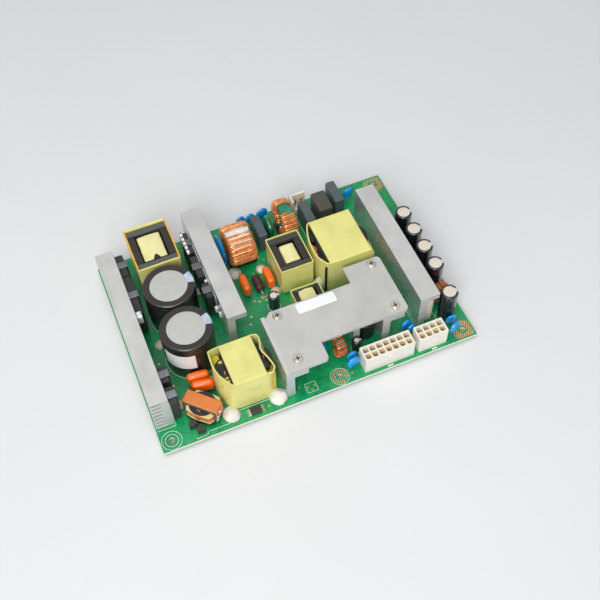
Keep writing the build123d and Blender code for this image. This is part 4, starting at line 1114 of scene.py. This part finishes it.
for width in ("wide", "narrow"):
    eased(width + "_header_housing", "cream_plastic", 0.14, "cream_plastic cream_inside", header_face)
eased("inlet_header_housing", "cream_plastic", 0.2, "cream_plastic")
dress("contact_brass", "header_contacts")

# devices on the heatsinks and on the board; their legs are tinned
eased("power_packages", "black_plastic", 0.2, "package_epoxy tinned_wire",
      lambda centre, normal: centre.z < 3)
eased("package_clips", "steel", 0.2, "spring_steel")
dress("insulator_sheet", "insulator_sheets")
eased("small_semiconductors", "black_plastic", 0.1, "transistor_epoxy tinned_wire",
      lambda centre, normal: centre.z < 0.5 and centre.x > 40 and abs(centre.x - CHIP_PLACE[0]) > 3.05)

clips = Piece("white_clips", "cream_plastic", "white_clip black_plastic")
clips.bricks(0, 0.5, ((11.2, 71.2, 19.2), (14.4, 75.6, 25.6)))
clips.bricks(0, 0.4, ((12, 72.4, 25), (13.8, 74.6, 26.6)))
for index in range(5):
    start = 104.6 + index * 3.3
    clips.bricks(0, 0.2, ((51.6, start, 21.8), (53.2, start + 2.1, 23.6)))
    clips.bricks(1, 0.1, ((51.8, start + 2.1, 21.8), (53, start + 3.3, 22.9)))
for x, y, z in ((54.8, 84.1, 18.4), (54.4, 66.2, 15.6), (55.2, 61, 17)):
    clips.bricks(0, 0.3, ((x, y - 1, z - 2.4), (56.4, y + 1, z + 1.6)))
clips.build()


# adhesive and solder
LUMPS = 0.18


def blob(x, y, radius, height, seed):
    """A dab of adhesive that slumped before it set."""
    bm = bmesh.new()
    ops.create_icosphere(bm, subdivisions=4, radius=1)
    geometry = bm.verts[:] + bm.edges[:] + bm.faces[:]
    ops.bisect_plane(bm, geom=geometry, plane_co=(0, 0, -0.25), plane_no=(0, 0, -1), clear_outer=True)
    ops.holes_fill(bm, edges=[e for e in bm.edges if e.is_boundary], sides=0)
    for vert in bm.verts:
        lump = noise.noise(vert.co * 1.3 + Vector((seed, seed * 2, 0)))
        fine = noise.noise(vert.co * 3.1 + Vector((0, seed, 3)))
        grow = 1 + LUMPS * lump + LUMPS * 0.3 * fine
        if vert.co.z > -0.24:
            vert.co *= grow
        vert.co.x *= radius
        vert.co.y *= radius
        vert.co.z = (vert.co.z + 0.25) * height / 1.25
    return moved(outward(bm), x, y)


dabs = Piece("adhesive", "silicone", "silicone beige_silicone")
DABS = ((41.61, 7.18, 4.94, 4, 0), (69.16, 7.45, 5.2, 4.2, 0), (75.8, 95.6, 4.1, 3.3, 0),
        (119.89, 67.56, 3.5, 7.4, 0), (91.96, 92.57, 3.2, 2.6, 1), (94.05, 73.42, 3.2, 3.6, 1),
        (16.91, 24.34, 3.1, 2.6, 1), (18.62, 65.44, 3.2, 2.6, 1), (38, 31.4, 3.3, 3.4, 1),
        (51.87, 91.77, 2.5, 2.1, 0))
for index, (x, y, radius, height, coat) in enumerate(DABS):
    dabs.add(blob(x, y, radius, height, index * 1.7), coat)
dabs.add(brick((165.4, 19.6, 0.6), (170.2, 20.9, 19.5), 0.6), 1)
dabs.build("adhesive_dabs", angle=60)
dress("solder", "solder_joints")
